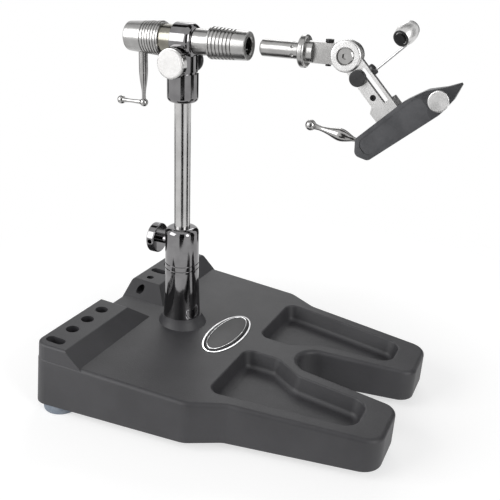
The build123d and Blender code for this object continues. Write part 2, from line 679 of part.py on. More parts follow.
# Column: flared chromed socket bolted to the boss from below
column = turned((POST_X, 0, COLUMN_FOOT), UP, [
    (0, COLUMN_FOOT_R), (COLUMN_FLARE_HEIGHT, COLUMN_R), (COLUMN_HEIGHT, COLUMN_R),
])
column = fillet(column.edges().sort_by(Axis.Z)[-1], COLUMN_TOP_R)
for height in COLUMN_RING_HEIGHTS:
    groove = tube((POST_X, 0, COLUMN_FOOT + height), UP, RING_WIDTH, COLUMN_FOOT_R, COLUMN_R - RING_DEPTH)
    column -= groove
column -= rod((POST_X, 0, COLUMN_FOOT + COLUMN_FLOOR), UP, COLUMN_HEIGHT, POST_R + RUNNING)
column -= rod((POST_X, 0, COLUMN_FOOT), UP, COLUMN_FLOOR, BOLT_R + SNUG)
screw_z = COLUMN_FOOT + SCREW_HEIGHT
column -= rod((POST_X, 0, screw_z), BACK, COLUMN_R + COLUMN_FOOT_R, THUMB_SHANK_R + RUNNING)
save("column", column)

bolt_top = COLUMN_FOOT + BOLT_BITE
washer_bottom = bolt_seat - WASHER_THICKNESS
bolt_head = RegularPolygon(BOLT_HEAD_R, 6, major_radius=False)
bolt = Pos(POST_X, 0, washer_bottom) * extrude(bolt_head, -BOLT_HEAD_HEIGHT)
bolt += rod((POST_X, 0, washer_bottom), UP, bolt_top - washer_bottom, BOLT_R)
save("column_bolt", bolt)
save("column_washer", tube((POST_X, 0, washer_bottom), UP, WASHER_THICKNESS, WASHER_R, BOLT_R + SNUG))

# Thumbscrew that clamps the post, with its brass pad
pad_end = POST_R + 2 * RUNNING
shank_end = pad_end + PAD_LENGTH
thumb_head = rod((POST_X - THUMB_HEAD_GAP, 0, screw_z), BACK, THUMB_HEAD_THICKNESS, THUMB_HEAD_R)
thumb_head = fillet(thumb_head.edges(), THUMB_EDGE_R)
tommy_x = POST_X - THUMB_HEAD_GAP - THUMB_HEAD_THICKNESS / 2
thumb_head -= rod((tommy_x, -THUMB_HEAD_R, screw_z), FAR, 2 * THUMB_HEAD_R, TOMMY_R)
thumb_shank = rod((POST_X - shank_end, 0, screw_z), BACK, THUMB_HEAD_GAP - shank_end, THUMB_SHANK_R)
save("stem_thumbscrew", thumb_head + thumb_shank)
save("clamp_pad", rod((POST_X - pad_end, 0, screw_z), BACK, PAD_LENGTH, PAD_R))

# Post
save("post", chamfer(rod((POST_X, 0, POST_BOTTOM), UP, POST_TOP - POST_BOTTOM, POST_R).edges(), TIP_CHAMFER))

# Head bracket: sleeve on the post, neck, and the housing of the spindle
bracket = rod((POST_X, 0, SLEEVE_FOOT), UP, SLEEVE_LENGTH, SLEEVE_R)
bracket = fillet(bracket.edges().sort_by(Axis.Z)[0], SLEEVE_EDGE_R)
bracket += rod((POST_X, 0, SLEEVE_TOP), UP, NECK_GROOVE_WIDTH, NECK_GROOVE_R)
neck_foot = SLEEVE_TOP + NECK_GROOVE_WIDTH
bracket += rod((POST_X, 0, neck_foot), UP, AXIS_Z - neck_foot, NECK_R)
housing = rod(station(HOUSING_REAR), FORWARD, HOUSING_FRONT - HOUSING_REAR, HOUSING_R)
housing = fillet(housing.edges().sort_by(Axis.X)[-1], HOUSING_NOSE_R)
housing = fillet(housing.edges().sort_by(Axis.X)[0], HOUSING_EDGE_R)
bracket -= rod(station(HOUSING_REAR), BACK, NECK_R, COLLAR_R + 2 * AIR)
bracket += housing
bracket -= rod(station(HOUSING_REAR - NECK_R), FORWARD, 3 * NECK_R + HOUSING_FRONT, BUSH_R + SNUG)
bracket -= rod((POST_X, 0, SLEEVE_FOOT), UP, POST_TOP + SNUG - SLEEVE_FOOT, POST_R + RUNNING)
bracket -= rod((POST_X, -SLEEVE_R, TENSION_Z), FAR, 2 * SLEEVE_R, TENSION_STUD_R + SNUG)
slit_foot = TENSION_Z - SLIT_FOOT
slit = Pos(POST_X, 0, slit_foot) * Box(4 * SLEEVE_R, SLIT_WIDTH, AXIS_Z - slit_foot,
                                       align=(Align.CENTER, Align.CENTER, Align.MIN))
bracket -= slit
grub_z = SLEEVE_FOOT + GRUB_HEIGHT
grub_start = (POST_X - POST_R - 2 * RUNNING, 0, grub_z)
bracket -= rod((POST_X, 0, grub_z), BACK, SLEEVE_R + POST_R, GRUB_R + SNUG)
save("head_bracket", bracket)
grub = rod(grub_start, BACK, GRUB_LENGTH, GRUB_R)
grub -= socket_cut((grub_start[0] - GRUB_LENGTH, 0, grub_z), FORWARD, GRUB_R, GRUB_LENGTH / 2)
save("bracket_grub_screw", grub)

bush_rear = tube(station(HOUSING_REAR), FORWARD, BUSH_FLANGE, BUSH_R, SPINDLE_R + RUNNING)
bush_front = tube(station(HOUSING_FRONT - BUSH_FLANGE), FORWARD, BUSH_FLANGE, BUSH_R, SPINDLE_R + RUNNING)
save("spindle_bushes", bush_rear + bush_front)

# Tension screw: stud through the slit neck, white-capped knob and plain counter knob
knob_front = TENSION_KNOB_BACK + TENSION_KNOB_THICKNESS
stud_near = knob_front - CAP_SINK - 2 * AIR
stud_far = COUNTER_KNOB_BACK + COUNTER_KNOB_THICKNESS * STUD_SHARE
save("tension_stud", rod((POST_X, -stud_near, TENSION_Z), FAR, stud_near + stud_far, TENSION_STUD_R))
knob = rod((POST_X, -TENSION_KNOB_BACK, TENSION_Z), NEAR, TENSION_KNOB_THICKNESS, TENSION_KNOB_R)
knob = fillet(knob.edges(), HOUSING_EDGE_R)
knob -= rod((POST_X, -knob_front + CAP_SINK, TENSION_Z), NEAR, CAP_SINK, CAP_R + SNUG)
knob -= rod((POST_X, -TENSION_KNOB_BACK, TENSION_Z), NEAR, TENSION_KNOB_THICKNESS, TENSION_STUD_R + RUNNING)
save("tension_knob", knob)
cap = rod((POST_X, -knob_front + CAP_SINK, TENSION_Z), NEAR, CAP_THICKNESS, CAP_R)
save("knob_cap", fillet(cap.edges().sort_by(Axis.Y)[0], CAP_CROWN))
counter = rod((POST_X, COUNTER_KNOB_BACK, TENSION_Z), FAR, COUNTER_KNOB_THICKNESS, COUNTER_KNOB_R)
counter = fillet(counter.edges(), COUNTER_EDGE_R)
stud_bore = COUNTER_KNOB_THICKNESS * STUD_BORE_SHARE
counter -= rod((POST_X, COUNTER_KNOB_BACK, TENSION_Z), FAR, stud_bore, TENSION_STUD_R + RUNNING)
save("counter_knob", counter)

# Spindle, collar and grooved barrel
save("spindle", rod(station(SPINDLE_REAR), FORWARD, SPINDLE_FRONT - SPINDLE_REAR, SPINDLE_R))
collar_front = HOUSING_REAR - AIR
collar = tube(station(BARREL_FRONT), FORWARD, collar_front - BARREL_FRONT, COLLAR_R, SPINDLE_R + SNUG)
save("spacer_collar", collar)
barrel_run = BARREL_FRONT - BARREL_REAR
barrel_slope = (BARREL_FRONT_R - BARREL_REAR_R) / barrel_run
barrel = turned(station(BARREL_REAR), FORWARD, [(0, BARREL_REAR_R), (barrel_run, BARREL_FRONT_R)])
barrel = fillet(barrel.edges().sort_by(Axis.X)[0], BARREL_EDGE_R)
barrel = chamfer(barrel.edges().sort_by(Axis.X)[-1], BARREL_LIP)
for i in range(GROOVE_COUNT):
    place = BARREL_GROOVE_FIRST + i * BARREL_GROOVE_PITCH
    floor_r = BARREL_REAR_R + barrel_slope * (place - BARREL_REAR) - GROOVE_DEPTH
    barrel -= tube(station(place), FORWARD, GROOVE_WIDTH, 2 * BARREL_FRONT_R, floor_r)
barrel -= rod(station(SPINDLE_REAR - SNUG), FORWARD, BARREL_FRONT - SPINDLE_REAR + 2 * SNUG, SPINDLE_R + SNUG)
barrel -= rod(station(CRANK_STATION, 0, -CRANK_SEAT), DOWN, CRANK_DROP, CRANK_ROOT_R + SNUG)
barrel -= rod(station(SET_SCREW_STATION), UP, 2 * BARREL_FRONT_R, SET_SCREW_R + SNUG)
save("rotary_barrel", barrel)
set_screw = rod(station(SET_SCREW_STATION, 0, SPINDLE_R + SNUG), UP, SET_SCREW_LENGTH, SET_SCREW_R)
set_screw_top = station(SET_SCREW_STATION, 0, SPINDLE_R + SET_SCREW_LENGTH)
set_screw -= socket_cut(set_screw_top, DOWN, SET_SCREW_R, SET_SCREW_R)
save("barrel_set_screw", set_screw)

# Crank: turned arm with a ball elbow, and a waisted handle pegged into the ball
arm_run = CRANK_DROP - CRANK_SEAT
arm_profile = [
    (0, CRANK_ROOT_R), (arm_run * 0.35, CRANK_ROOT_R), (arm_run * 0.55, CRANK_ROOT_R * 0.9),
    (arm_run * 0.78, CRANK_WAIST_R * 1.08),
]
elbow = station(CRANK_STATION, 0, -CRANK_DROP)
crank_root = station(CRANK_STATION, 0, -CRANK_SEAT)
crank = ball_ended(crank_root, DOWN, arm_profile, CRANK_WAIST_R, arm_run, CRANK_BALL_R)
peg_root = CRANK_BALL_R - HANDLE_PEG_LENGTH
crank -= rod(elbow, BACK, 2 * CRANK_BALL_R, HANDLE_PEG_R + SNUG)
handle_start = CRANK_BALL_R + HANDLE_GAP
crank -= rod(station(CRANK_STATION - handle_start + AIR, 0, -CRANK_DROP), BACK, CRANK_BALL_R, CRANK_BALL_R)
save("crank_arm", crank)
handle_run = HANDLE_LENGTH - handle_start + AIR
handle = ball_ended(station(CRANK_STATION - handle_start + AIR, 0, -CRANK_DROP), BACK, [
    (0, HANDLE_WAIST_R * 1.25), (handle_run * 0.3, HANDLE_WAIST_R * 1.05),
    (handle_run * 0.55, HANDLE_WAIST_R),
], HANDLE_WAIST_R * 1.35, handle_run, HANDLE_BALL_R)
handle += rod(station(CRANK_STATION - peg_root, 0, -CRANK_DROP), BACK, handle_start, HANDLE_PEG_R)
save("crank_handle", handle)

# Chuck: neck and bored tube on the spindle, grooved sliding sleeve, balls and spring
chuck_rear = HOUSING_FRONT + AIR
bore_r = SHAFT_R + RUNNING
tube_front = CHUCK_MOUTH - NOSE_RING_LENGTH
chuck = rod(station(chuck_rear), FORWARD, CHUCK_NECK_FRONT - chuck_rear, CHUCK_NECK_R)
chuck += rod(station(CHUCK_NECK_FRONT), FORWARD, CHUCK_MOUTH - CHUCK_NECK_FRONT, CHUCK_TUBE_R)
chuck -= rod(station(chuck_rear), FORWARD, SPINDLE_FRONT - chuck_rear, SPINDLE_R + SNUG)
chuck -= rod(station(CHUCK_BORE_BACK), FORWARD, CHUCK_MOUTH - CHUCK_BORE_BACK, bore_r)
mouth_edges = chuck.edges().filter_by(GeomType.CIRCLE).filter_by_position(
    Axis.X, POST_X + CHUCK_MOUTH - TOUCH, POST_X + CHUCK_MOUTH + TOUCH)
chuck = chamfer(mouth_edges.sort_by(SortBy.RADIUS)[0], MOUTH_CHAMFER)
inserted_dimple = CHUCK_MOUTH + AIR - DIMPLE_SETBACK
balls = Part()
for i in range(BALL_COUNT):
    angle = 2 * math.pi * i / BALL_COUNT + math.pi / 2
    outward = (0, math.cos(angle), math.sin(angle))
    chuck -= rod(station(inserted_dimple), outward, CHUCK_NECK_R, BALL_R + RUNNING)
    reach = bore_r + BALL_R
    balls += Pos(*station(inserted_dimple, reach * outward[1], reach * outward[2])) * Sphere(BALL_R)
save("chuck_body", chuck)
save("lock_balls", balls)
ring_r = SLEEVE_BORE_R - RUNNING
ring = tube(station(tube_front), FORWARD, NOSE_RING_LENGTH - AIR, ring_r, CHUCK_TUBE_R + SNUG)
save("nose_ring", ring)

sleeve_run = CHUCK_MOUTH - SLEEVE_REAR
sleeve_slope = (CHUCK_REAR_R - CHUCK_MOUTH_R) / sleeve_run
sleeve = turned(station(SLEEVE_REAR), FORWARD, [(0, CHUCK_REAR_R), (sleeve_run, CHUCK_MOUTH_R)])
sleeve = fillet(sleeve.edges().filter_by(GeomType.CIRCLE), HOUSING_EDGE_R)
for i in range(GROOVE_COUNT):
    place = CHUCK_GROOVE_FIRST + i * CHUCK_GROOVE_PITCH
    floor_r = CHUCK_REAR_R - sleeve_slope * (place - SLEEVE_REAR) - CHUCK_GROOVE_DEPTH
    sleeve -= tube(station(place), FORWARD, CHUCK_GROOVE_WIDTH, 2 * CHUCK_REAR_R, floor_r)
sleeve -= rod(station(SLEEVE_REAR), FORWARD, SLEEVE_STEP - SLEEVE_REAR, CHUCK_NECK_R + RUNNING)
sleeve -= rod(station(SLEEVE_STEP), FORWARD, sleeve_run, SLEEVE_BORE_R)
save("chuck_sleeve", sleeve)
coil_room = SLEEVE_STEP - CHUCK_NECK_FRONT - 2 * (COIL_WIRE_R + AIR / 2)
coil_pitch = coil_room / COIL_TURNS
coil_rear = station(CHUCK_NECK_FRONT + COIL_WIRE_R + AIR / 2)
spring = coil(coil_rear, FORWARD, COIL_R, COIL_WIRE_R, coil_pitch, COIL_TURNS)
save("sleeve_spring", spring)

# Head shaft: plug with ball dimples, flange, flatted bar and the eye of the knuckle
flange_front = FLANGE_REAR + FLANGE_THICKNESS
plug = rod(station(SHAFT_TIP), FORWARD, FLANGE_REAR - SHAFT_TIP, SHAFT_R)
plug = chamfer(plug.edges().sort_by(Axis.X)[0], TIP_CHAMFER)
flange = fillet(rod(station(FLANGE_REAR), FORWARD, FLANGE_THICKNESS, FLANGE_R).edges(), FLANGE_EDGE_R)
bar = rod(station(flange_front - FLANGE_EDGE_R), FORWARD, BAR_END - flange_front + FLANGE_EDGE_R, BAR_R)
eye = rod(KNUCKLE + Vector(0, EYE_NEAR_Y, 0), FAR, EYE_FAR_Y - EYE_NEAR_Y, EYE_R)
link = Pos(*station(BAR_END, (EYE_NEAR_Y + EYE_FAR_Y) / 2)) * Box(
    2 * (KNUCKLE_STATION - BAR_END), EYE_FAR_Y - EYE_NEAR_Y, 2 * BAR_R * 0.9)
bar -= Pos(*station(FLAT_START, EYE_NEAR_Y)) * Box(
    BAR_END, 2 * BAR_R, 3 * BAR_R, align=(Align.MIN, Align.MAX, Align.CENTER))
shaft = plug + flange + bar + eye + link
for i in range(DIMPLE_COUNT):
    angle = 2 * math.pi * i / DIMPLE_COUNT + math.pi / 2
    depth = SHAFT_R + DIMPLE_R * 0.3
    spot = station(FLANGE_REAR - DIMPLE_SETBACK, depth * math.cos(angle), depth * math.sin(angle))
    shaft -= Pos(*spot) * Sphere(DIMPLE_R)
shaft -= rod(KNUCKLE + Vector(0, EYE_NEAR_Y, 0), FAR, EYE_FAR_Y - EYE_NEAR_Y, PIVOT_R + SNUG)
lock_top = station(LOCK_SCREW_STATION, (EYE_NEAR_Y + EYE_FAR_Y) / 2, BAR_R)
shaft -= rod(lock_top, DOWN, 2 * BAR_R, LOCK_SCREW_R + SNUG)
save("head_shaft", shaft)
lock_screw = rod(lock_top, UP, LOCK_HEAD_HEIGHT, LOCK_HEAD_R)
lock_screw += rod(lock_top, DOWN, 2 * BAR_R + LOCK_END, LOCK_SCREW_R)
lock_face = station(LOCK_SCREW_STATION, (EYE_NEAR_Y + EYE_FAR_Y) / 2, BAR_R + LOCK_HEAD_HEIGHT)
lock_screw -= socket_cut(lock_face, DOWN, LOCK_HEAD_R, LOCK_HEAD_HEIGHT)
save("tilt_lock_screw", lock_screw)

# Pivot of the knuckle: socket screw, washer and nut
recess_floor = HUB_NEAR_Y + PIVOT_RECESS_DEPTH
head_back = recess_floor - RUNNING
washer_far = EYE_FAR_Y + PIVOT_WASHER_THICKNESS
nut_far = washer_far + PIVOT_NUT_THICKNESS
pivot = rod(KNUCKLE + Vector(0, head_back, 0), NEAR, PIVOT_HEAD_HEIGHT, PIVOT_HEAD_R)
pivot = chamfer(pivot.edges().sort_by(Axis.Y)[0], HOUSING_EDGE_R)
pivot += rod(KNUCKLE + Vector(0, head_back, 0), FAR, nut_far - head_back, PIVOT_R)
pivot_face = KNUCKLE + Vector(0, head_back - PIVOT_HEAD_HEIGHT, 0)
pivot -= socket_cut(pivot_face, FAR, PIVOT_SOCKET, PIVOT_SOCKET_DEPTH)
save("pivot_screw", pivot)
washer = tube(KNUCKLE + Vector(0, EYE_FAR_Y, 0), FAR, PIVOT_WASHER_THICKNESS, PIVOT_WASHER_R, PIVOT_R + SNUG)
save("pivot_washer", washer)
nut_face = RegularPolygon(PIVOT_NUT_R, 6, major_radius=False) - Circle(PIVOT_R + SNUG)
nut_plane = Plane(origin=KNUCKLE + Vector(0, washer_far, 0), z_dir=FAR)
save("pivot_nut", nut_plane * extrude(nut_face, PIVOT_NUT_THICKNESS))

# Slotted arm with its hub on the knuckle and its foot on the jaws
foot_top = JAW_SEAT - ARM_FOOT_HEIGHT
arm_face = area([(ARM_LEFT, 0), (ARM_RIGHT, 0), (ARM_RIGHT, -JAW_SEAT), (ARM_FOOT_LEFT, -JAW_SEAT),
                 (ARM_FOOT_LEFT, -foot_top), (ARM_LEFT, -foot_top + ARM_FOOT_R)])
arm = plate(arm_face, ARM_NEAR_Y, ARM_FAR_Y)
arm += rod(KNUCKLE + Vector(0, HUB_NEAR_Y, 0), FAR, EYE_NEAR_Y - AIR - HUB_NEAR_Y, KNUCKLE_R)
foot_face = area([(ARM_FOOT_LEFT, -foot_top), (ARM_RIGHT, -foot_top),
                  (ARM_RIGHT, -JAW_SEAT), (ARM_FOOT_LEFT, -JAW_SEAT)])
arm += plate(foot_face, ARM_NEAR_Y, ARM_FOOT_FAR_Y)
hub_rim = arm.edges().filter_by(GeomType.CIRCLE)
hub_rim = hub_rim.filter_by_position(Axis.Y, HUB_NEAR_Y - TOUCH, HUB_NEAR_Y + TOUCH)
arm = fillet(hub_rim, HOUSING_EDGE_R * 2)
slot_mid = (ARM_SLOT_START + ARM_SLOT_END) / 2
slot_face = SlotOverall(ARM_SLOT_END - ARM_SLOT_START, ARM_SLOT_WIDTH)
slot_face = Pos(ARM_SLOT_ACROSS, -slot_mid) * Rot(0, 0, 90) * slot_face
arm -= plate(slot_face, ARM_NEAR_Y, ARM_FAR_Y)
arm -= rod(KNUCKLE + Vector(0, HUB_NEAR_Y, 0), FAR, PIVOT_RECESS_DEPTH, PIVOT_RECESS_R)
arm -= rod(KNUCKLE + Vector(0, HUB_NEAR_Y, 0), FAR, EYE_NEAR_Y - HUB_NEAR_Y, PIVOT_R + RUNNING)
knob_hole = on_arm(ARM_KNOB_ACROSS, ARM_KNOB_ALONG, ARM_NEAR_Y)
arm -= rod(knob_hole, FAR, ARM_THICKNESS, ARM_KNOB_SHANK_R + RUNNING)
arm -= rod(on_arm(ARM_GRUB_ACROSS, ARM_GRUB_ALONG, ARM_NEAR_Y), FAR, ARM_THICKNESS, ARM_GRUB_R + SNUG)
for across in FOOT_PIN_ACROSS:
    arm -= rod(on_arm(across, foot_top, FOOT_PIN_Y), ALONG, ARM_FOOT_HEIGHT, FOOT_PIN_R + SNUG)
    arm -= rod(on_arm(across, foot_top, FOOT_PIN_Y), ALONG, FOOT_PIN_HEAD_HEIGHT, FOOT_PIN_HEAD_R + SNUG)
ferrule_y = (ARM_NEAR_Y + ARM_FAR_Y) / 2
arm -= rod(on_arm(ARM_RIGHT, FERRULE_ALONG, ferrule_y), -ACROSS, FERRULE_PEG_LENGTH, FERRULE_PEG_R + RUNNING)
save("jaw_arm", arm)

foot_pins = Part()
for across in FOOT_PIN_ACROSS:
    pin_top = on_arm(across, foot_top, FOOT_PIN_Y)
    pin = rod(pin_top, ALONG, FOOT_PIN_HEAD_HEIGHT, FOOT_PIN_HEAD_R)
    foot_pins += pin + rod(pin_top, ALONG, ARM_FOOT_HEIGHT + FOOT_PIN_BITE, FOOT_PIN_R)
save("jaw_foot_screws", foot_pins)
arm_grub = rod(on_arm(ARM_GRUB_ACROSS, ARM_GRUB_ALONG, ARM_FAR_Y), NEAR, ARM_GRUB_LENGTH, ARM_GRUB_R)
grub_face = on_arm(ARM_GRUB_ACROSS, ARM_GRUB_ALONG, ARM_FAR_Y - ARM_GRUB_LENGTH)
arm_grub -= socket_cut(grub_face, FAR, ARM_GRUB_R, ARM_GRUB_R / 2)
save("arm_grub_screw", arm_grub)

# Black thumb knob on the arm
knob_seat = on_arm(ARM_KNOB_ACROSS, ARM_KNOB_ALONG, ARM_NEAR_Y - AIR / 2)
arm_knob = fillet(rod(knob_seat, NEAR, ARM_KNOB_THICKNESS, ARM_KNOB_R).edges(), HOUSING_EDGE_R)
arm_knob += rod(knob_seat, FAR, ARM_THICKNESS + AIR, ARM_KNOB_SHANK_R)
save("arm_knob", arm_knob)

# Material clip: ferrule on the arm's edge, wire, and a barrel with two rings
ferrule_foot = on_arm(ARM_RIGHT + AIR / 2, FERRULE_ALONG, ferrule_y)
ferrule = fillet(rod(ferrule_foot, ACROSS, FERRULE_HEIGHT, FERRULE_R).edges(), HOUSING_EDGE_R)
ferrule += rod(ferrule_foot, -ACROSS, FERRULE_PEG_LENGTH, FERRULE_PEG_R)
wire_foot = on_arm(ARM_RIGHT + AIR / 2 + FERRULE_HEIGHT / 2, WIRE_ALONG, ferrule_y)
ferrule -= rod(wire_foot, ACROSS, FERRULE_HEIGHT, WIRE_R + SNUG)
save("wire_ferrule", ferrule)
save("clip_wire", rod(wire_foot, ACROSS, WIRE_LENGTH, WIRE_R))
clip_axis = Vector(*CLIP_AXIS).normalized()
clip_mid = on_arm(CLIP_ACROSS, CLIP_ALONG, ferrule_y)
clip_foot = clip_mid - clip_axis * (CLIP_LENGTH / 2)
clip = smooth_turned(clip_foot, clip_axis, [
    (0, CLIP_END_R), (CLIP_LENGTH * 0.2, CLIP_R * 0.93), (CLIP_LENGTH / 2, CLIP_R),
    (CLIP_LENGTH * 0.8, CLIP_R * 0.93), (CLIP_LENGTH, CLIP_END_R),
])
clip -= rod(wire_foot, ACROSS, WIRE_LENGTH + SNUG, WIRE_R + SNUG)
clip_caps = Part()
clip_rings = Part()
for end, outward in ((clip_foot, -clip_axis), (clip_foot + clip_axis * CLIP_LENGTH, clip_axis)):
    ring_floor = end - outward * CLIP_RING_WIRE_R
    clip -= tube(ring_floor, outward, CLIP_LENGTH, CLIP_RING_R + CLIP_RING_WIRE_R + RUNNING,
                 CLIP_RING_R - CLIP_RING_WIRE_R - RUNNING)
    clip_rings += tube(ring_floor, outward, 2 * CLIP_RING_WIRE_R, CLIP_RING_R + CLIP_RING_WIRE_R,
                       CLIP_RING_R - CLIP_RING_WIRE_R)
    cap_face = rod(end, outward, CLIP_CAP_LENGTH, CLIP_RING_R - 2 * CLIP_RING_WIRE_R)
    clip_caps += cap_face
save("clip_body", clip)
save("clip_end_caps", clip_caps)
save("clip_rings", clip_rings)

# Jaws: two plates that rock on a pin, pinched at the nose by a cam in the heel
seat_v = -JAW_SEAT
jaw_points = [
    (JAW_HEEL_TOP, 0), (JAW_BACK_END, 0), (JAW_BROW, -JAW_BROW_DROP), (JAW_NOSE, -JAW_NOSE_DROP),
    (JAW_TIP, -JAW_TIP_DROP), (JAW_TIP, -JAW_TIP_DROP - JAW_TIP_HEIGHT), (JAW_CHIN, -JAW_CHIN_DROP),
    (JAW_BELLY, -JAW_BELLY_DROP), (JAW_HEEL_BOTTOM, -JAW_HEEL_DROP), (JAW_HEEL, -JAW_HEEL_MID_DROP),
]
jaw_face = area([(across, seat_v + drop) for across, drop in jaw_points])
for across, drop in (jaw_points[0], jaw_points[8], jaw_points[9]):
    jaw_face = fillet(corner(jaw_face, across, seat_v + drop), JAW_HEEL_R)
for across, drop in (jaw_points[2], jaw_points[6], jaw_points[7]):
    jaw_face = fillet(corner(jaw_face, across, seat_v + drop), 2 * JAW_HEEL_R)


def nose_cut(side):
    """The wedge taken off a jaw's flank so that the nose narrows to the tip."""
    reach = 2 * JAW_TIP - JAW_TAPER_START
    drop = JAW_HALF_THICKNESS - JAW_TIP_HALF_THICKNESS
    lean = drop / (JAW_TIP - JAW_TAPER_START)
    outer = JAW_HALF_THICKNESS
    inner = outer - lean * (reach - JAW_TAPER_START)
    face = area([(JAW_TAPER_START, -side * outer), (reach, -side * inner), (reach, -side * 2 * outer),
                 (JAW_TAPER_START, -side * 2 * outer)])
    return slab(JAW_TOP_PLANE, face, -JAW_BELLY_DROP, 2 * JAW_BELLY_DROP)


cam_point = (CAM_ACROSS, JAW_SEAT + CAM_DROP)
screw_point = (JAW_SCREW_ACROSS, JAW_SEAT + JAW_SCREW_DROP)
panel_mid = (PANEL_REAR + PANEL_FRONT) / 2
panel_drop = (PANEL_TOP_DROP + PANEL_BOTTOM_DROP) / 2
panel_face = Pos(panel_mid, seat_v - panel_drop) * RectangleRounded(
    PANEL_FRONT - PANEL_REAR, PANEL_BOTTOM_DROP - PANEL_TOP_DROP, PANEL_R)
rocker_start = on_arm(0, JAW_SEAT + ROCKER_INSET, 0)
rocker_run = JAW_HEEL_DROP - 2 * ROCKER_INSET
cam_room_r = CAM_R + 2 * AIR

near_jaw = plate(jaw_face, -JAW_HALF_THICKNESS, -JAW_GAP) - nose_cut(-1)
near_jaw -= plate(panel_face, -JAW_HALF_THICKNESS, PANEL_DEPTH - JAW_HALF_THICKNESS)
near_jaw -= rod(rocker_start, ALONG, rocker_run, ROCKER_R + SNUG)
near_jaw -= rod(on_arm(*screw_point, -JAW_HALF_THICKNESS), FAR, 2 * JAW_HALF_THICKNESS, JAW_SCREW_R + RUNNING)
near_jaw -= rod(on_arm(*screw_point, JAW_KNOB_SEAT_Y), NEAR, JAW_HALF_THICKNESS, JAW_KNOB_R + AIR)
near_jaw -= rod(on_arm(*cam_point, CAM_NEAR_Y - AIR), FAR, JAW_HALF_THICKNESS, cam_room_r)
pin_near = PANEL_DEPTH + JAW_EDGE - JAW_HALF_THICKNESS
near_jaw -= rod(on_arm(*cam_point, pin_near), FAR, JAW_HALF_THICKNESS, CAM_PIN_R + SNUG)
lever_room = area([(CAM_ACROSS, seat_v + JAW_EDGE), (2 * JAW_HEEL, seat_v + JAW_EDGE),
                   (2 * JAW_HEEL, seat_v - LEVER_ROOM_DROP), (CAM_ACROSS, seat_v - LEVER_ROOM_DROP)])
near_jaw -= plate(lever_room, CAM_NEAR_Y - AIR, 0)
for across in FOOT_PIN_ACROSS:
    near_jaw -= rod(on_arm(across, JAW_SEAT, FOOT_PIN_Y), ALONG, FOOT_PIN_BITE, FOOT_PIN_R + SNUG)
near_jaw -= rod(on_arm(*screw_point, 0), NEAR, JAW_COIL_SEAT, JAW_COIL_R + 2 * JAW_COIL_WIRE_R)
save("near_jaw", near_jaw)

far_jaw = plate(jaw_face, JAW_GAP, JAW_HALF_THICKNESS) - nose_cut(1)
relief = area([(-RELIEF_START, seat_v + JAW_EDGE), (2 * JAW_HEEL, seat_v + JAW_EDGE),
               (2 * JAW_HEEL, seat_v - JAW_BELLY_DROP), (-RELIEF_START, seat_v - JAW_BELLY_DROP)])
far_jaw -= plate(relief, 0, JAW_RELIEF)
foot_way = area([(ARM_FOOT_LEFT - AIR, seat_v + AIR), (ARM_RIGHT + AIR, seat_v + AIR),
                 (ARM_RIGHT + AIR, seat_v - AIR), (ARM_FOOT_LEFT - AIR, seat_v - AIR)])
far_jaw -= plate(foot_way, 0, JAW_HALF_THICKNESS)
far_jaw -= rod(rocker_start, ALONG, rocker_run, ROCKER_R + RUNNING)
far_jaw -= rod(on_arm(*screw_point, 0), FAR, JAW_HALF_THICKNESS, JAW_SCREW_R + JAW_SCREW_LOOSE)
far_jaw -= rod(on_arm(*screw_point, 0), FAR, JAW_COIL_SEAT, JAW_COIL_R + 2 * JAW_COIL_WIRE_R)
far_jaw -= rod(on_arm(*screw_point, -JAW_KNOB_SEAT_Y), FAR, JAW_HALF_THICKNESS, JAW_NUT_R + 2 * AIR)
follower_across = CAM_ACROSS - CAM_R + CAM_FOLLOWER_R
follower = on_arm(follower_across, JAW_SEAT + CAM_DROP, CAM_PEAK_Y + CAM_PLAY)
far_jaw += rod(follower, FAR, JAW_RELIEF - CAM_PEAK_Y, CAM_FOLLOWER_R)
save("far_jaw", far_jaw)

save("rocker_pin", rod(rocker_start, ALONG, rocker_run, ROCKER_R))
save("cam_pin", rod(on_arm(*cam_point, pin_near), FAR, CAM_PEAK_Y - pin_near, CAM_PIN_R))
coil_run = 2 * JAW_COIL_SEAT - 2 * JAW_COIL_WIRE_R - 2 * AIR
coil_start = on_arm(*screw_point, -coil_run / 2)
jaw_coil = coil(coil_start, FAR, JAW_COIL_R, JAW_COIL_WIRE_R, coil_run / JAW_COIL_TURNS, JAW_COIL_TURNS)
save("jaw_spring", jaw_coil)

# Jaw adjusting knob: turned disc, screw through both jaws and a round nut behind
jaw_knob_seat = on_arm(*screw_point, JAW_KNOB_SEAT_Y - AIR / 2)
jaw_knob = fillet(rod(jaw_knob_seat, NEAR, JAW_KNOB_THICKNESS, JAW_KNOB_R).edges(), HOUSING_EDGE_R)
jaw_knob -= rod(jaw_knob_seat, NEAR, JAW_KNOB_THICKNESS / 2, JAW_SCREW_R + SNUG)
save("jaw_knob", jaw_knob)
nut_near_y = JAW_NUT_PLAY - JAW_KNOB_SEAT_Y
screw_near_y = JAW_KNOB_SEAT_Y - AIR / 2 - JAW_KNOB_THICKNESS / 2
screw_run = nut_near_y + JAW_NUT_THICKNESS - screw_near_y
save("jaw_screw", rod(on_arm(*screw_point, screw_near_y), FAR, screw_run, JAW_SCREW_R))
jaw_nut = tube(on_arm(*screw_point, nut_near_y), FAR, JAW_NUT_THICKNESS, JAW_NUT_R, JAW_SCREW_R + SNUG)
save("jaw_screw_nut", jaw_nut)

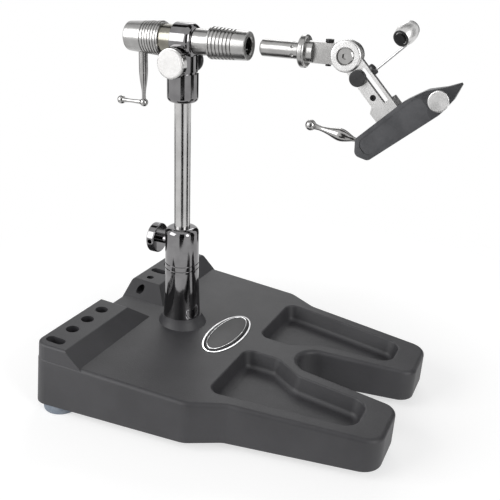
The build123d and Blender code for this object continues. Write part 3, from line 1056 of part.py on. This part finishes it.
# Cam lever: a leaning cam face on a hub, with a turned handle and ball
tilt = math.radians(CAM_TILT)
peak_point = on_arm(*cam_point, CAM_PEAK_Y) - ACROSS * CAM_R
lean_normal = Vector(0, math.cos(tilt), 0) + ACROSS * math.sin(tilt)
above_face = Plane(origin=peak_point, x_dir=ALONG, z_dir=lean_normal) * Box(
    4 * CAM_R, 6 * CAM_R, 2 * CAM_R, align=(Align.CENTER, Align.CENTER, Align.MIN))
hub = rod(on_arm(*cam_point, CAM_NEAR_Y), FAR, CAM_PEAK_Y - CAM_NEAR_Y, CAM_R) - above_face
rise = math.radians(LEVER_RISE)
lever_dir = Vector(-math.cos(rise), 0, math.sin(rise))
lever_y = CAM_NEAR_Y + LEVER_ROOT_R + RUNNING
lever_root = on_arm(*cam_point, lever_y)
handle_start_run = CAM_R / 2
lever = ball_ended(lever_root, lever_dir, [
    (handle_start_run, LEVER_ROOT_R), (LEVER_LENGTH * 0.25, LEVER_ROOT_R),
    (LEVER_LENGTH * 0.34, LEVER_BULGE_R * 0.8), (LEVER_LENGTH * 0.45, LEVER_BULGE_R),
    (LEVER_LENGTH * 0.6, LEVER_BULGE_R * 0.75),
    (LEVER_LENGTH * 0.78, LEVER_WAIST_R),
], LEVER_WAIST_R * 1.15, LEVER_LENGTH, LEVER_BALL_R)
lever += hub
lever -= rod(on_arm(*cam_point, CAM_NEAR_Y), FAR, CAM_PEAK_Y - CAM_NEAR_Y, CAM_PIN_R + RUNNING)
save("cam_lever", lever)
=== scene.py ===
import bmesh
import bpy
import math
from mathutils import Matrix, Vector


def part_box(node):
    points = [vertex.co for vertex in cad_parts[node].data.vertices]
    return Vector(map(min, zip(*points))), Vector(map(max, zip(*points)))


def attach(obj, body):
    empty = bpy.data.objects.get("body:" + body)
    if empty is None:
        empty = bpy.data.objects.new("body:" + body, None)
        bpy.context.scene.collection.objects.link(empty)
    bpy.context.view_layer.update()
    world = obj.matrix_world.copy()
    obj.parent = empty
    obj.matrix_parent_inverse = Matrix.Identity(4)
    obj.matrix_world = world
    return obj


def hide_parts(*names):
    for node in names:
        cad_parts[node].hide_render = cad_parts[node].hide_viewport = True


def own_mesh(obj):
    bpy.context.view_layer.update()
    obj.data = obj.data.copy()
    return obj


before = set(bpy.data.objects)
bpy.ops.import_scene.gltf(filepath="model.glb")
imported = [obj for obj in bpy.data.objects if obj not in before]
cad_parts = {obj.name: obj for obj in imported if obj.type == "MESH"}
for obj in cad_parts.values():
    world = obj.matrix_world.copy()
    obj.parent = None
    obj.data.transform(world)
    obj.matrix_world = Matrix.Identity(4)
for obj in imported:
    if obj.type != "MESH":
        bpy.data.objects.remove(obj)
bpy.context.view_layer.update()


# Base body and bottom cover
# One heavy moulding of charcoal plastic with a fine spark-eroded grain over all of its outer faces.
# The cover closes the hollow underside and is moulded from the same plastic.
CHARCOAL = (0.031, 0.0305, 0.0335)
CHARCOAL_PALE = (0.041, 0.0405, 0.044)
GRAIN_SCALE = 1500.0
GRAIN_DEPTH = 0.00012
GRAIN_SMOOTH = 0.42
GRAIN_ROUGH = 0.62
CLOUD_SCALE = 38.0


def new_finish(name, colour, metallic, roughness):
    """A material whose shader starts from one colour, and that shader."""
    material = bpy.data.materials.new(name)
    material.use_nodes = True
    shader = material.node_tree.nodes["Principled BSDF"]
    shader.inputs["Base Color"].default_value = (*colour, 1)
    shader.inputs["Metallic"].default_value = metallic
    shader.inputs["Roughness"].default_value = roughness
    return material, shader


def texture_on(material, kind, scale, turn=(0, 0, 0), centre=(0, 0, 0), **inputs):
    """A texture node on the piece's own coordinates, turned and centred as told."""
    nodes, links = material.node_tree.nodes, material.node_tree.links
    place = nodes.new("ShaderNodeTexCoord")
    mapping = nodes.new("ShaderNodeMapping")
    mapping.vector_type = "TEXTURE"
    mapping.inputs["Location"].default_value = centre
    mapping.inputs["Rotation"].default_value = turn
    texture = nodes.new("ShaderNodeTex" + kind)
    texture.inputs["Scale"].default_value = scale
    for socket, value in inputs.items():
        texture.inputs[socket].default_value = value
    links.new(place.outputs["Object"], mapping.inputs["Vector"])
    links.new(mapping.outputs["Vector"], texture.inputs["Vector"])
    return texture


def spread_colour(material, shader, texture, dark, pale, low=0.35, high=0.65):
    """Mixes the base colour between two shades by a texture."""
    ramp = material.node_tree.nodes.new("ShaderNodeValToRGB")
    ramp.color_ramp.elements[0].position = low
    ramp.color_ramp.elements[1].position = high
    ramp.color_ramp.elements[0].color = (*dark, 1)
    ramp.color_ramp.elements[1].color = (*pale, 1)
    material.node_tree.links.new(texture.outputs["Fac"], ramp.inputs["Fac"])
    material.node_tree.links.new(ramp.outputs["Color"], shader.inputs["Base Color"])


def spread_roughness(material, shader, texture, smooth, rough):
    """Lets the roughness wander between two values by a texture."""
    span = material.node_tree.nodes.new("ShaderNodeMapRange")
    span.inputs["To Min"].default_value = smooth
    span.inputs["To Max"].default_value = rough
    material.node_tree.links.new(texture.outputs["Fac"], span.inputs["Value"])
    material.node_tree.links.new(span.outputs["Result"], shader.inputs["Roughness"])


def raise_by(material, shader, texture, depth, strength=1.0):
    """Adds a texture's relief to the surface, on top of any relief already there."""
    relief = material.node_tree.nodes.new("ShaderNodeBump")
    relief.inputs["Distance"].default_value = depth
    relief.inputs["Strength"].default_value = strength
    links = material.node_tree.links
    if shader.inputs["Normal"].is_linked:
        links.new(shader.inputs["Normal"].links[0].from_socket, relief.inputs["Normal"])
    links.new(texture.outputs["Fac"], relief.inputs["Height"])
    links.new(relief.outputs["Normal"], shader.inputs["Normal"])


def dress(material, *nodes):
    """Gives CAD pieces their finish."""
    for node in nodes:
        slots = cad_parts[node].data.materials
        slots.clear()
        slots.append(material)


def moulded_charcoal():
    """Charcoal plastic with its eroded grain and faint paler clouds."""
    material, shader = new_finish("moulded_charcoal", CHARCOAL, 0.0, 0.5)
    clouds = texture_on(material, "Noise", CLOUD_SCALE, Detail=3.0)
    spread_colour(material, shader, clouds, CHARCOAL, CHARCOAL_PALE)
    grain = texture_on(material, "Noise", GRAIN_SCALE, Detail=2.0, Roughness=0.6)
    spread_roughness(material, shader, grain, GRAIN_SMOOTH, GRAIN_ROUGH)
    raise_by(material, shader, grain, GRAIN_DEPTH, 0.6)
    return material


dress(moulded_charcoal(), "base_body", "bottom_cover")


# Ballast, bolt and screws under the cover
# A plate of rough iron for weight, with blackened steel screws that hold cover, feet and column.
BLACK_OXIDE = (0.012, 0.012, 0.013)
BLACK_OXIDE_PALE = (0.022, 0.022, 0.023)
IRON = (0.10, 0.095, 0.09)
IRON_PALE = (0.16, 0.15, 0.145)
OIL_PATCH_SCALE = 420.0
IRON_SKIN_SCALE = 160.0
IRON_SKIN_DEPTH = 0.0003


def black_oxide():
    """Blackened steel with a trace of oil in patches."""
    material, shader = new_finish("black_oxide", BLACK_OXIDE, 0.6, 0.35)
    patches = texture_on(material, "Noise", OIL_PATCH_SCALE, Detail=3.0)
    spread_colour(material, shader, patches, BLACK_OXIDE, BLACK_OXIDE_PALE)
    spread_roughness(material, shader, patches, 0.26, 0.46)
    return material


def rough_iron():
    """Bare iron plate with a scaly skin."""
    material, shader = new_finish("rough_iron", IRON, 1.0, 0.6)
    skin = texture_on(material, "Noise", IRON_SKIN_SCALE, Detail=5.0)
    spread_colour(material, shader, skin, IRON, IRON_PALE)
    spread_roughness(material, shader, skin, 0.5, 0.75)
    raise_by(material, shader, skin, IRON_SKIN_DEPTH)
    return material


blackened = black_oxide()
dress(rough_iron(), "ballast_plate")
dress(blackened, "cover_screws", "foot_screws", "column_bolt", "column_washer")


# Rubber feet
# Discs of soft grey-blue rubber, a little dusty, each held by a screw in its middle.
RUBBER = (0.17, 0.20, 0.245)
RUBBER_DUSTY = (0.23, 0.26, 0.30)
DUST_SCALE = 260.0
DUST_DEPTH = 0.00006


def foot_rubber():
    """Matte rubber with a dusty bloom."""
    material, shader = new_finish("foot_rubber", RUBBER, 0.0, 0.75)
    bloom = texture_on(material, "Noise", DUST_SCALE, Detail=4.0)
    spread_colour(material, shader, bloom, RUBBER, RUBBER_DUSTY)
    spread_roughness(material, shader, bloom, 0.68, 0.88)
    raise_by(material, shader, bloom, DUST_DEPTH)
    return material


dress(foot_rubber(), "rubber_feet")


# Badge
# A bare oval dome of black resin, poured into a thin polished rim set in the deck.
# A fine bright line is laid in the resin just inside the rim.
RESIN = (0.008, 0.008, 0.009)
RESIN_SMOKE = (0.020, 0.020, 0.022)
SMOKE_SCALE = 90.0
DOME_RISE = 0.0011
DOME_SIDES = 72
DOME_RINGS = 36
LINE_INSET = 0.0022
LINE_RADIUS = 0.00022
LINE_SIDES = 8
LINE_STEPS = 96
DECK_FALL = math.radians(3.3)
RIM_METAL = (0.70, 0.70, 0.71)
RIM_METAL_PALE = (0.80, 0.80, 0.81)


def new_piece(name, mesh_edit, body, material):
    """A finished mesh piece that rides on a body and takes a material slot."""
    mesh = bpy.data.meshes.new(name)
    mesh_edit.to_mesh(mesh)
    mesh_edit.free()
    for face in mesh.polygons:
        face.use_smooth = True
    mesh.materials.append(material)
    piece = bpy.data.objects.new(name, mesh)
    bpy.context.scene.collection.objects.link(piece)
    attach(piece, body)
    return piece


def polished(name, dark, pale, smooth=0.07, rough=0.16, scale=240.0):
    """Polished metal with faint wiping marks."""
    material, shader = new_finish(name, dark, 1.0, smooth)
    wipes = texture_on(material, "Noise", scale, Detail=4.0)
    spread_colour(material, shader, wipes, dark, pale)
    spread_roughness(material, shader, wipes, smooth, rough)
    return material


def black_resin():
    """Black resin with a smoky depth, dulled by handling."""
    material, shader = new_finish("black_resin", RESIN, 0.0, 0.3)
    smoke = texture_on(material, "Noise", SMOKE_SCALE, Detail=2.0)
    spread_colour(material, shader, smoke, RESIN, RESIN_SMOKE)
    spread_roughness(material, shader, smoke, 0.26, 0.36)
    shader.inputs["Specular IOR Level"].default_value = 0.25
    return material


bright_rim = polished("bright_rim", RIM_METAL, RIM_METAL_PALE)
to_deck = Matrix.Rotation(DECK_FALL, 3, "Y")
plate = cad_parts["badge_plate"]
plate_points = [to_deck.inverted() @ (plate.matrix_world @ vert.co) for vert in plate.data.vertices]
plate_low = Vector([min(point[i] for point in plate_points) for i in range(3)])
plate_high = Vector([max(point[i] for point in plate_points) for i in range(3)])
plate_middle = (plate_low + plate_high) / 2
plate_half = (plate_high - plate_low) / 2
dome = bmesh.new()
bmesh.ops.create_uvsphere(dome, u_segments=DOME_SIDES, v_segments=DOME_RINGS, radius=1.0)
bmesh.ops.bisect_plane(dome, geom=dome.verts[:] + dome.edges[:] + dome.faces[:], plane_co=(0, 0, 0),
                       plane_no=(0, 0, 1), clear_inner=True)
bmesh.ops.scale(dome, vec=(plate_half.x, plate_half.y, DOME_RISE), verts=dome.verts)
bmesh.ops.translate(dome, vec=(plate_middle.x, plate_middle.y, plate_high.z), verts=dome.verts)
rims = [edge for edge in dome.edges if edge.is_boundary]
skirt = bmesh.ops.extrude_edge_only(dome, edges=rims)["geom"]
skirt_verts = [item for item in skirt if isinstance(item, bmesh.types.BMVert)]
bmesh.ops.translate(dome, vec=(0, 0, plate_low.z - plate_high.z), verts=skirt_verts)
bmesh.ops.edgeloop_fill(dome, edges=[edge for edge in dome.edges if edge.is_boundary])
bmesh.ops.rotate(dome, matrix=to_deck, verts=dome.verts)
bmesh.ops.recalc_face_normals(dome, faces=dome.faces)
badge_dome = new_piece("badge_dome", dome, "base", black_resin())
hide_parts("badge_plate")

line = bmesh.new()
bmesh.ops.create_circle(line, segments=LINE_SIDES, radius=LINE_RADIUS)
bmesh.ops.rotate(line, matrix=Matrix.Rotation(math.radians(90), 3, "X"), verts=line.verts)
bmesh.ops.translate(line, vec=(plate_half.x - LINE_INSET, 0, 0), verts=line.verts)
bmesh.ops.spin(line, geom=line.verts[:] + line.edges[:], axis=(0, 0, 1), cent=(0, 0, 0), steps=LINE_STEPS,
               angle=math.radians(360), use_merge=True)
stretch = (plate_half.y - LINE_INSET) / (plate_half.x - LINE_INSET)
bmesh.ops.scale(line, vec=(1, stretch, 1), verts=line.verts)
inset_share = (plate_half.x - LINE_INSET) / plate_half.x
line_rise = DOME_RISE * math.sqrt(1 - inset_share ** 2)
bmesh.ops.translate(line, vec=(plate_middle.x, plate_middle.y, plate_high.z + line_rise), verts=line.verts)
bmesh.ops.rotate(line, matrix=to_deck, verts=line.verts)
bmesh.ops.recalc_face_normals(line, faces=line.faces)
new_piece("badge_line", line, "base", bright_rim)
dress(bright_rim, "badge_rim")


# Column and head bracket
# Turned steel in mirror chrome, its colour painted dark as a painted reflection of dark surroundings.
# The column is a flared socket with two engraved rings, the bracket a sleeve, a slit neck and a round
# housing.
CHROME_PAINTED_DARK = (0.19, 0.186, 0.19)
CHROME_PAINTED_DARK_PALE = (0.232, 0.228, 0.232)
dark_chrome = polished("dark_chrome", CHROME_PAINTED_DARK, CHROME_PAINTED_DARK_PALE, 0.045, 0.10, 150.0)
dress(dark_chrome, "column", "head_bracket")
dress(blackened, "bracket_grub_screw", "tension_stud")


# Thumbscrew of the column
# A thick turned disc in the column's chrome, painted dark for reflected dark surroundings, with a cross hole
# and a stubby screw, brass at its tip.
TURNING_SCALE = 900.0
TURNING_DEPTH = 0.000018
TURNED_TONE_SCALE = 130.0
BRASS = (0.52, 0.38, 0.15)
BRASS_PALE = (0.62, 0.47, 0.21)


def turned_metal(name, dark, pale, smooth=0.2, rough=0.32):
    """Lathe-turned metal: fine rings along the vise's length and a faint cloudy tone."""
    material, shader = new_finish(name, dark, 1.0, smooth)
    tone = texture_on(material, "Noise", TURNED_TONE_SCALE, Detail=3.0)
    spread_colour(material, shader, tone, dark, pale)
    rings = texture_on(material, "Wave", TURNING_SCALE, Distortion=0.6, Detail=2.0)
    rings.bands_direction = "X"
    spread_roughness(material, shader, rings, smooth, rough)
    raise_by(material, shader, rings, TURNING_DEPTH, 0.5)
    return material


# Painted dark reflection: the thumbscrew takes the column's darkened chrome.
dress(dark_chrome, "stem_thumbscrew")
dress(turned_metal("turned_brass", BRASS, BRASS_PALE), "clamp_pad", "spindle_bushes")


# Post
# A ground and chromed rod that slides in the column and carries the bracket.
CHROME = (0.46, 0.455, 0.45)
CHROME_PALE = (0.54, 0.535, 0.53)
CHROME_WIPE_SCALE = 120.0
dress(polished("ground_chrome", CHROME, CHROME_PALE, 0.15, 0.23, CHROME_WIPE_SCALE), "post")


# Tension knobs
# The near knob is a steel cup with a white plastic cap pressed into it, the far one plain black plastic.
WHITE_CAP = (0.80, 0.79, 0.78)
WHITE_CAP_SHADE = (0.77, 0.76, 0.75)
BLACK_PLASTIC = (0.010, 0.010, 0.011)
BLACK_PLASTIC_PALE = (0.020, 0.020, 0.021)
PLASTIC_SKIN_SCALE = 300.0
PLASTIC_SKIN_DEPTH = 0.00001


def plastic(name, dark, pale, smooth, rough):
    """Moulded plastic with a soft half gloss."""
    material, shader = new_finish(name, pale, 0.0, smooth)
    tone = texture_on(material, "Noise", PLASTIC_SKIN_SCALE, Detail=3.0)
    spread_colour(material, shader, tone, dark, pale)
    spread_roughness(material, shader, tone, smooth, rough)
    raise_by(material, shader, tone, PLASTIC_SKIN_DEPTH, 0.3)
    return material


black_plastic = plastic("black_plastic", BLACK_PLASTIC, BLACK_PLASTIC_PALE, 0.25, 0.4)
bright_chrome = polished("bright_chrome", CHROME, CHROME_PALE, 0.06, 0.13, CHROME_WIPE_SCALE)
dress(bright_chrome, "tension_knob")
dress(plastic("white_cap", WHITE_CAP_SHADE, WHITE_CAP, 0.22, 0.32), "knob_cap")
dress(black_plastic, "counter_knob")


# Spindle, barrel and crank
# Turned and ground steel on one axis: the grooved barrel grips the spindle, a collar keeps it off the
# bracket, and the crank screws into the barrel's underside.
STEEL = (0.34, 0.336, 0.331)
STEEL_PALE = (0.41, 0.406, 0.40)
COLLAR = (0.20, 0.19, 0.165)
COLLAR_PALE = (0.27, 0.26, 0.225)
turned_steel = turned_metal("turned_steel", STEEL, STEEL_PALE)
dress(turned_steel, "spindle", "rotary_barrel")
dress(turned_metal("grey_collar", COLLAR, COLLAR_PALE, smooth=0.14, rough=0.24), "spacer_collar")
dress(blackened, "barrel_set_screw")
crank_steel = polished("crank_steel", STEEL, STEEL_PALE, 0.12, 0.22)
dress(crank_steel, "crank_arm", "crank_handle")


# Quick-change chuck
# A bored steel tube with lock balls, and a grooved sleeve that a spring holds forwards over them.
# The spring is wound from round wire.
SPRING_WIRE = (0.42, 0.42, 0.42)
SPRING_WIRE_PALE = (0.52, 0.52, 0.52)
COIL_WIRE_RADIUS = 0.0003
COIL_WIRE_SIDES = 10
COIL_TURNS = 4
COIL_STEPS = 40
dress(turned_steel, "chuck_sleeve", "chuck_body", "nose_ring")
dress(bright_chrome, "lock_balls")
spring_wire = polished("spring_wire", SPRING_WIRE, SPRING_WIRE_PALE, 0.2, 0.32)
dress(spring_wire, "sleeve_spring", "jaw_spring")
coil_low, coil_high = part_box("sleeve_spring")
coil_length = coil_high[0] - coil_low[0]
coil_radius = (coil_high[2] - coil_low[2]) / 2 - COIL_WIRE_RADIUS
coil_middle = (coil_low + coil_high) / 2
coil_start = Vector((coil_low[0] + COIL_WIRE_RADIUS, coil_middle[1], coil_middle[2]))
coil_step = (coil_length - 2 * COIL_WIRE_RADIUS) / (COIL_TURNS * COIL_STEPS)
coil = bmesh.new()
bmesh.ops.create_circle(coil, cap_ends=True, segments=COIL_WIRE_SIDES, radius=COIL_WIRE_RADIUS)
bmesh.ops.translate(coil, vec=coil_start + Vector((0, coil_radius, 0)), verts=coil.verts)
bmesh.ops.spin(coil, geom=coil.verts[:] + coil.edges[:] + coil.faces[:], axis=(1, 0, 0), cent=coil_start,
               dvec=(coil_step, 0, 0), steps=COIL_TURNS * COIL_STEPS, angle=math.radians(360 * COIL_TURNS))
bmesh.ops.recalc_face_normals(coil, faces=coil.faces)
sleeve_coil = new_piece("sleeve_coil", coil, "rotor", spring_wire)
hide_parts("sleeve_spring")
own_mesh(sleeve_coil)


# Head shaft and knuckle
# A ground shank with a ring of dimples for the balls, a flange, and a flatted bar that ends in an eye.
# A socket screw with washer and nut is the knuckle's pivot, and a black screw locks it.
dress(turned_steel, "head_shaft")
dress(crank_steel, "pivot_screw", "pivot_washer", "pivot_nut")
dress(blackened, "tilt_lock_screw")


# Slotted arm
# Milled from bright aluminium with a hub, a long slot and a foot that carries the jaws.
ALUMINIUM = (0.64, 0.636, 0.63)
ALUMINIUM_PALE = (0.75, 0.745, 0.74)
ARM_TURN = math.radians(46.5)


def milled_aluminium():
    """Aluminium with straight fine milling lines along the arm."""
    material, shader = new_finish("milled_aluminium", ALUMINIUM, 1.0, 0.28)
    tone = texture_on(material, "Noise", 150.0, Detail=3.0)
    spread_colour(material, shader, tone, ALUMINIUM, ALUMINIUM_PALE)
    lines = texture_on(material, "Wave", TURNING_SCALE, (0, ARM_TURN, 0), Distortion=1.2, Detail=2.0)
    lines.bands_direction = "X"
    spread_roughness(material, shader, lines, 0.22, 0.36)
    raise_by(material, shader, lines, TURNING_DEPTH, 0.4)
    return material


dress(milled_aluminium(), "jaw_arm")
dress(blackened, "arm_grub_screw", "jaw_foot_screws")
dress(black_plastic, "arm_knob")


# Material clip
# A turned aluminium barrel with black rings at both ends, on a spring wire from a black ferrule.
dress(polished("clip_barrel", ALUMINIUM, ALUMINIUM_PALE, 0.34, 0.44), "clip_body")
dress(blackened, "clip_end_caps")
dress(black_plastic, "clip_rings", "wire_ferrule")
dress(spring_wire, "clip_wire")


# Jaws
# Two plates of hardened steel, ground and blued to gunmetal, with a shallow panel in the near flank.
GUNMETAL = (0.088, 0.089, 0.094)
GUNMETAL_PALE = (0.120, 0.121, 0.127)


def ground_gunmetal():
    """Gunmetal steel with straight grinding lines along the jaw."""
    material, shader = new_finish("ground_gunmetal", GUNMETAL, 0.9, 0.38)
    tone = texture_on(material, "Noise", 120.0, Detail=3.0)
    spread_colour(material, shader, tone, GUNMETAL, GUNMETAL_PALE)
    lines = texture_on(material, "Wave", TURNING_SCALE, (0, ARM_TURN, 0), Distortion=2.0, Detail=3.0)
    lines.bands_direction = "Z"
    spread_roughness(material, shader, lines, 0.32, 0.46)
    raise_by(material, shader, lines, TURNING_DEPTH, 0.4)
    return material


dress(ground_gunmetal(), "near_jaw", "far_jaw", "jaw_screw_nut")
dress(blackened, "rocker_pin", "cam_pin", "jaw_screw")


# Jaw knob
# A turned aluminium disc with a spun face, screwed through both jaws.
knob_low, knob_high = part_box("jaw_knob")


def spun_face(name, dark, pale, centre):
    """Aluminium whose face was spun: fine rings about the knob's own axis."""
    material, shader = new_finish(name, dark, 1.0, 0.25)
    tone = texture_on(material, "Noise", 200.0, Detail=3.0)
    spread_colour(material, shader, tone, dark, pale)
    rings = texture_on(material, "Wave", TURNING_SCALE, centre=centre, Distortion=0.4)
    rings.wave_type = "RINGS"
    rings.rings_direction = "Y"
    spread_roughness(material, shader, rings, 0.18, 0.34)
    raise_by(material, shader, rings, TURNING_DEPTH, 0.5)
    return material


dress(spun_face("spun_aluminium", ALUMINIUM, ALUMINIUM_PALE, (knob_low + knob_high) / 2), "jaw_knob")


# Cam lever
# A polished steel handle with a ball, turned in one piece with the cam's hub.
dress(crank_steel, "cam_lever")


# Studio
# A pale floor that runs on into a white background, soft lamps, and dark cards that only metal mirrors.
FLOOR_HALF = 6.0
FLOOR_WHITE = (0.90, 0.90, 0.90)
FLOOR_GLOW = 0.45
NEAR_GLOW_STRENGTH = 1.36
FADE_START = 0.12
FADE_END = 0.34
SKY_FILL = 0.30


def seen_directly(nodes, links):
    """A value of one for rays from the camera and for mirrored or clear rays."""
    path = nodes.new("ShaderNodeLightPath")
    total = nodes.new("ShaderNodeMath")
    total.operation = "ADD"
    total.use_clamp = True
    more = nodes.new("ShaderNodeMath")
    more.operation = "ADD"
    more.use_clamp = True
    links.new(path.outputs["Is Camera Ray"], total.inputs[0])
    links.new(path.outputs["Is Glossy Ray"], total.inputs[1])
    links.new(total.outputs["Value"], more.inputs[0])
    links.new(path.outputs["Is Transmission Ray"], more.inputs[1])
    return more.outputs["Value"]


def floor_white():
    """A white floor that glows for the camera, more with distance, so that it runs on into the background."""
    material, shader = new_finish("floor_white", FLOOR_WHITE, 0.0, 0.9)
    nodes, links = material.node_tree.nodes, material.node_tree.links
    glow = nodes.new("ShaderNodeEmission")
    blend = nodes.new("ShaderNodeMixShader")
    place = nodes.new("ShaderNodeTexCoord")
    distance = nodes.new("ShaderNodeVectorMath")
    distance.operation = "LENGTH"
    links.new(place.outputs["Object"], distance.inputs[0])
    fade = nodes.new("ShaderNodeMapRange")
    fade.interpolation_type = "SMOOTHSTEP"
    fade.inputs["From Min"].default_value = FADE_START
    fade.inputs["From Max"].default_value = FADE_END
    fade.inputs["To Min"].default_value = FLOOR_GLOW
    links.new(distance.outputs["Value"], fade.inputs["Value"])
    share = nodes.new("ShaderNodeMath")
    share.operation = "MULTIPLY"
    links.new(fade.outputs["Result"], share.inputs[1])
    links.new(seen_directly(nodes, links), share.inputs[0])
    links.new(share.outputs["Value"], blend.inputs["Fac"])
    strength = nodes.new("ShaderNodeMapRange")
    strength.inputs["From Min"].default_value = FLOOR_GLOW
    strength.inputs["To Min"].default_value = NEAR_GLOW_STRENGTH
    links.new(fade.outputs["Result"], strength.inputs["Value"])
    links.new(strength.outputs["Result"], glow.inputs["Strength"])
    links.new(shader.outputs["BSDF"], blend.inputs[1])
    links.new(glow.outputs["Emission"], blend.inputs[2])
    links.new(blend.outputs["Shader"], nodes["Material Output"].inputs["Surface"])
    return material


def flat_panel(name, half_x, half_y, material):
    """A flat sheet of the studio, not part of the vise."""
    sheet = bmesh.new()
    bmesh.ops.create_grid(sheet, x_segments=1, y_segments=1, size=1.0)
    bmesh.ops.scale(sheet, vec=(half_x, half_y, 1), verts=sheet.verts)
    mesh = bpy.data.meshes.new(name)
    sheet.to_mesh(mesh)
    sheet.free()
    mesh.materials.append(material)
    panel = bpy.data.objects.new(name, mesh)
    bpy.context.scene.collection.objects.link(panel)
    return panel


flat_panel("floor", FLOOR_HALF, FLOOR_HALF, floor_white())

world = bpy.data.worlds.new("studio")
bpy.context.scene.world = world
world.use_nodes = True
sky_nodes, sky_links = world.node_tree.nodes, world.node_tree.links
sky = sky_nodes["Background"]
sky.inputs["Color"].default_value = (1, 1, 1, 1)
sky_strength = sky_nodes.new("ShaderNodeMapRange")
sky_strength.inputs["To Min"].default_value = SKY_FILL
sky_strength.inputs["To Max"].default_value = 1.0
sky_links.new(seen_directly(sky_nodes, sky_links), sky_strength.inputs["Value"])
sky_links.new(sky_strength.outputs["Result"], sky.inputs["Strength"])

VISE_MIDDLE = Vector((0.0, 0.0, 0.11))


def facing(place, target):
    """The turn that points a lamp or card at a place."""
    return (Vector(target) - Vector(place)).to_track_quat("-Z", "Y").to_euler()


def softbox(name, place, size, power):
    """A square soft lamp aimed at the vise."""
    lamp = bpy.data.lights.new(name, "AREA")
    lamp.shape = "RECTANGLE"
    lamp.size, lamp.size_y = size
    lamp.energy = power
    holder = bpy.data.objects.new(name, lamp)
    holder.location = place
    holder.rotation_euler = facing(place, VISE_MIDDLE)
    bpy.context.scene.collection.objects.link(holder)


# Name, place, width and height in metres, power in watts.
LAMPS = [
    ("key_lamp", (-0.75, -0.78, 0.55), (0.85, 0.85), 10.0),
    ("side_lamp", (0.98, -0.45, 0.50), (0.35, 0.7), 5.0),
    ("back_lamp", (-0.25, 0.95, 0.85), (0.8, 0.3), 2.5),
]
for lamp_name, lamp_place, lamp_size, lamp_power in LAMPS:
    softbox(lamp_name, lamp_place, lamp_size, lamp_power)

CARD_BLACK = (0.01, 0.01, 0.01)
card_black = new_finish("card_black", CARD_BLACK, 0.0, 0.9)[0]
# Name, place, half width and half height: cards stand far out, strips close to the column.
CARDS = [
    ("card_right", (0.98, 0.22, 0.30), 0.28, 0.7),
    ("card_behind", (0.15, 0.95, 0.30), 0.30, 0.7),
    ("card_left", (-1.0, 0.25, 0.30), 0.22, 0.7),
    ("card_over", (0.0, 0.25, 1.10), 0.75, 0.20),
    ("card_front", (0.42, -0.88, 0.30), 0.28, 0.7),
    ("strip_front", (0.061, -0.212, 0.072), 0.068, 0.068),
    ("strip_right", (0.183, 0.050, 0.060), 0.060, 0.055),
    ("strip_left", (-0.290, 0.040, 0.060), 0.060, 0.055),
    ("strip_back", (0.040, 0.220, 0.060), 0.050, 0.055),
]
for card_name, card_place, card_half_width, card_half_height in CARDS:
    card = flat_panel(card_name, card_half_width, card_half_height, card_black)
    card.location = card_place
    card.rotation_euler = facing(card_place, VISE_MIDDLE)
    card.visible_camera = False
    card.visible_diffuse = False
    card.visible_shadow = False


# Camera
# It stands where the photograph was taken from, close to the vise and a little rolled.
PHOTO_AZIMUTH = math.radians(23.626)
PHOTO_ELEVATION = math.radians(21.756)
PHOTO_ROLL = math.radians(2.402)
PHOTO_PLACE = (0.15771, -0.37129, 0.25525)
PHOTO_LENS = 51.70
NEAR_CLIP = 0.01
back = Vector((math.sin(PHOTO_AZIMUTH) * math.cos(PHOTO_ELEVATION),
               -math.cos(PHOTO_AZIMUTH) * math.cos(PHOTO_ELEVATION), math.sin(PHOTO_ELEVATION)))
level_right = Vector((math.cos(PHOTO_AZIMUTH), math.sin(PHOTO_AZIMUTH), 0))
level_up = back.cross(level_right)
right = math.cos(PHOTO_ROLL) * level_right + math.sin(PHOTO_ROLL) * level_up
up = math.cos(PHOTO_ROLL) * level_up - math.sin(PHOTO_ROLL) * level_right
lens = bpy.data.cameras.new("photo_camera")
lens.lens = PHOTO_LENS
lens.clip_start = NEAR_CLIP
camera = bpy.data.objects.new("photo_camera", lens)
camera.matrix_world = Matrix((
    (right.x, up.x, back.x, PHOTO_PLACE[0]),
    (right.y, up.y, back.y, PHOTO_PLACE[1]),
    (right.z, up.z, back.z, PHOTO_PLACE[2]),
    (0, 0, 0, 1),
))
bpy.context.scene.collection.objects.link(camera)
bpy.context.scene.camera = camera
bpy.context.scene.view_settings.view_transform = "Standard"
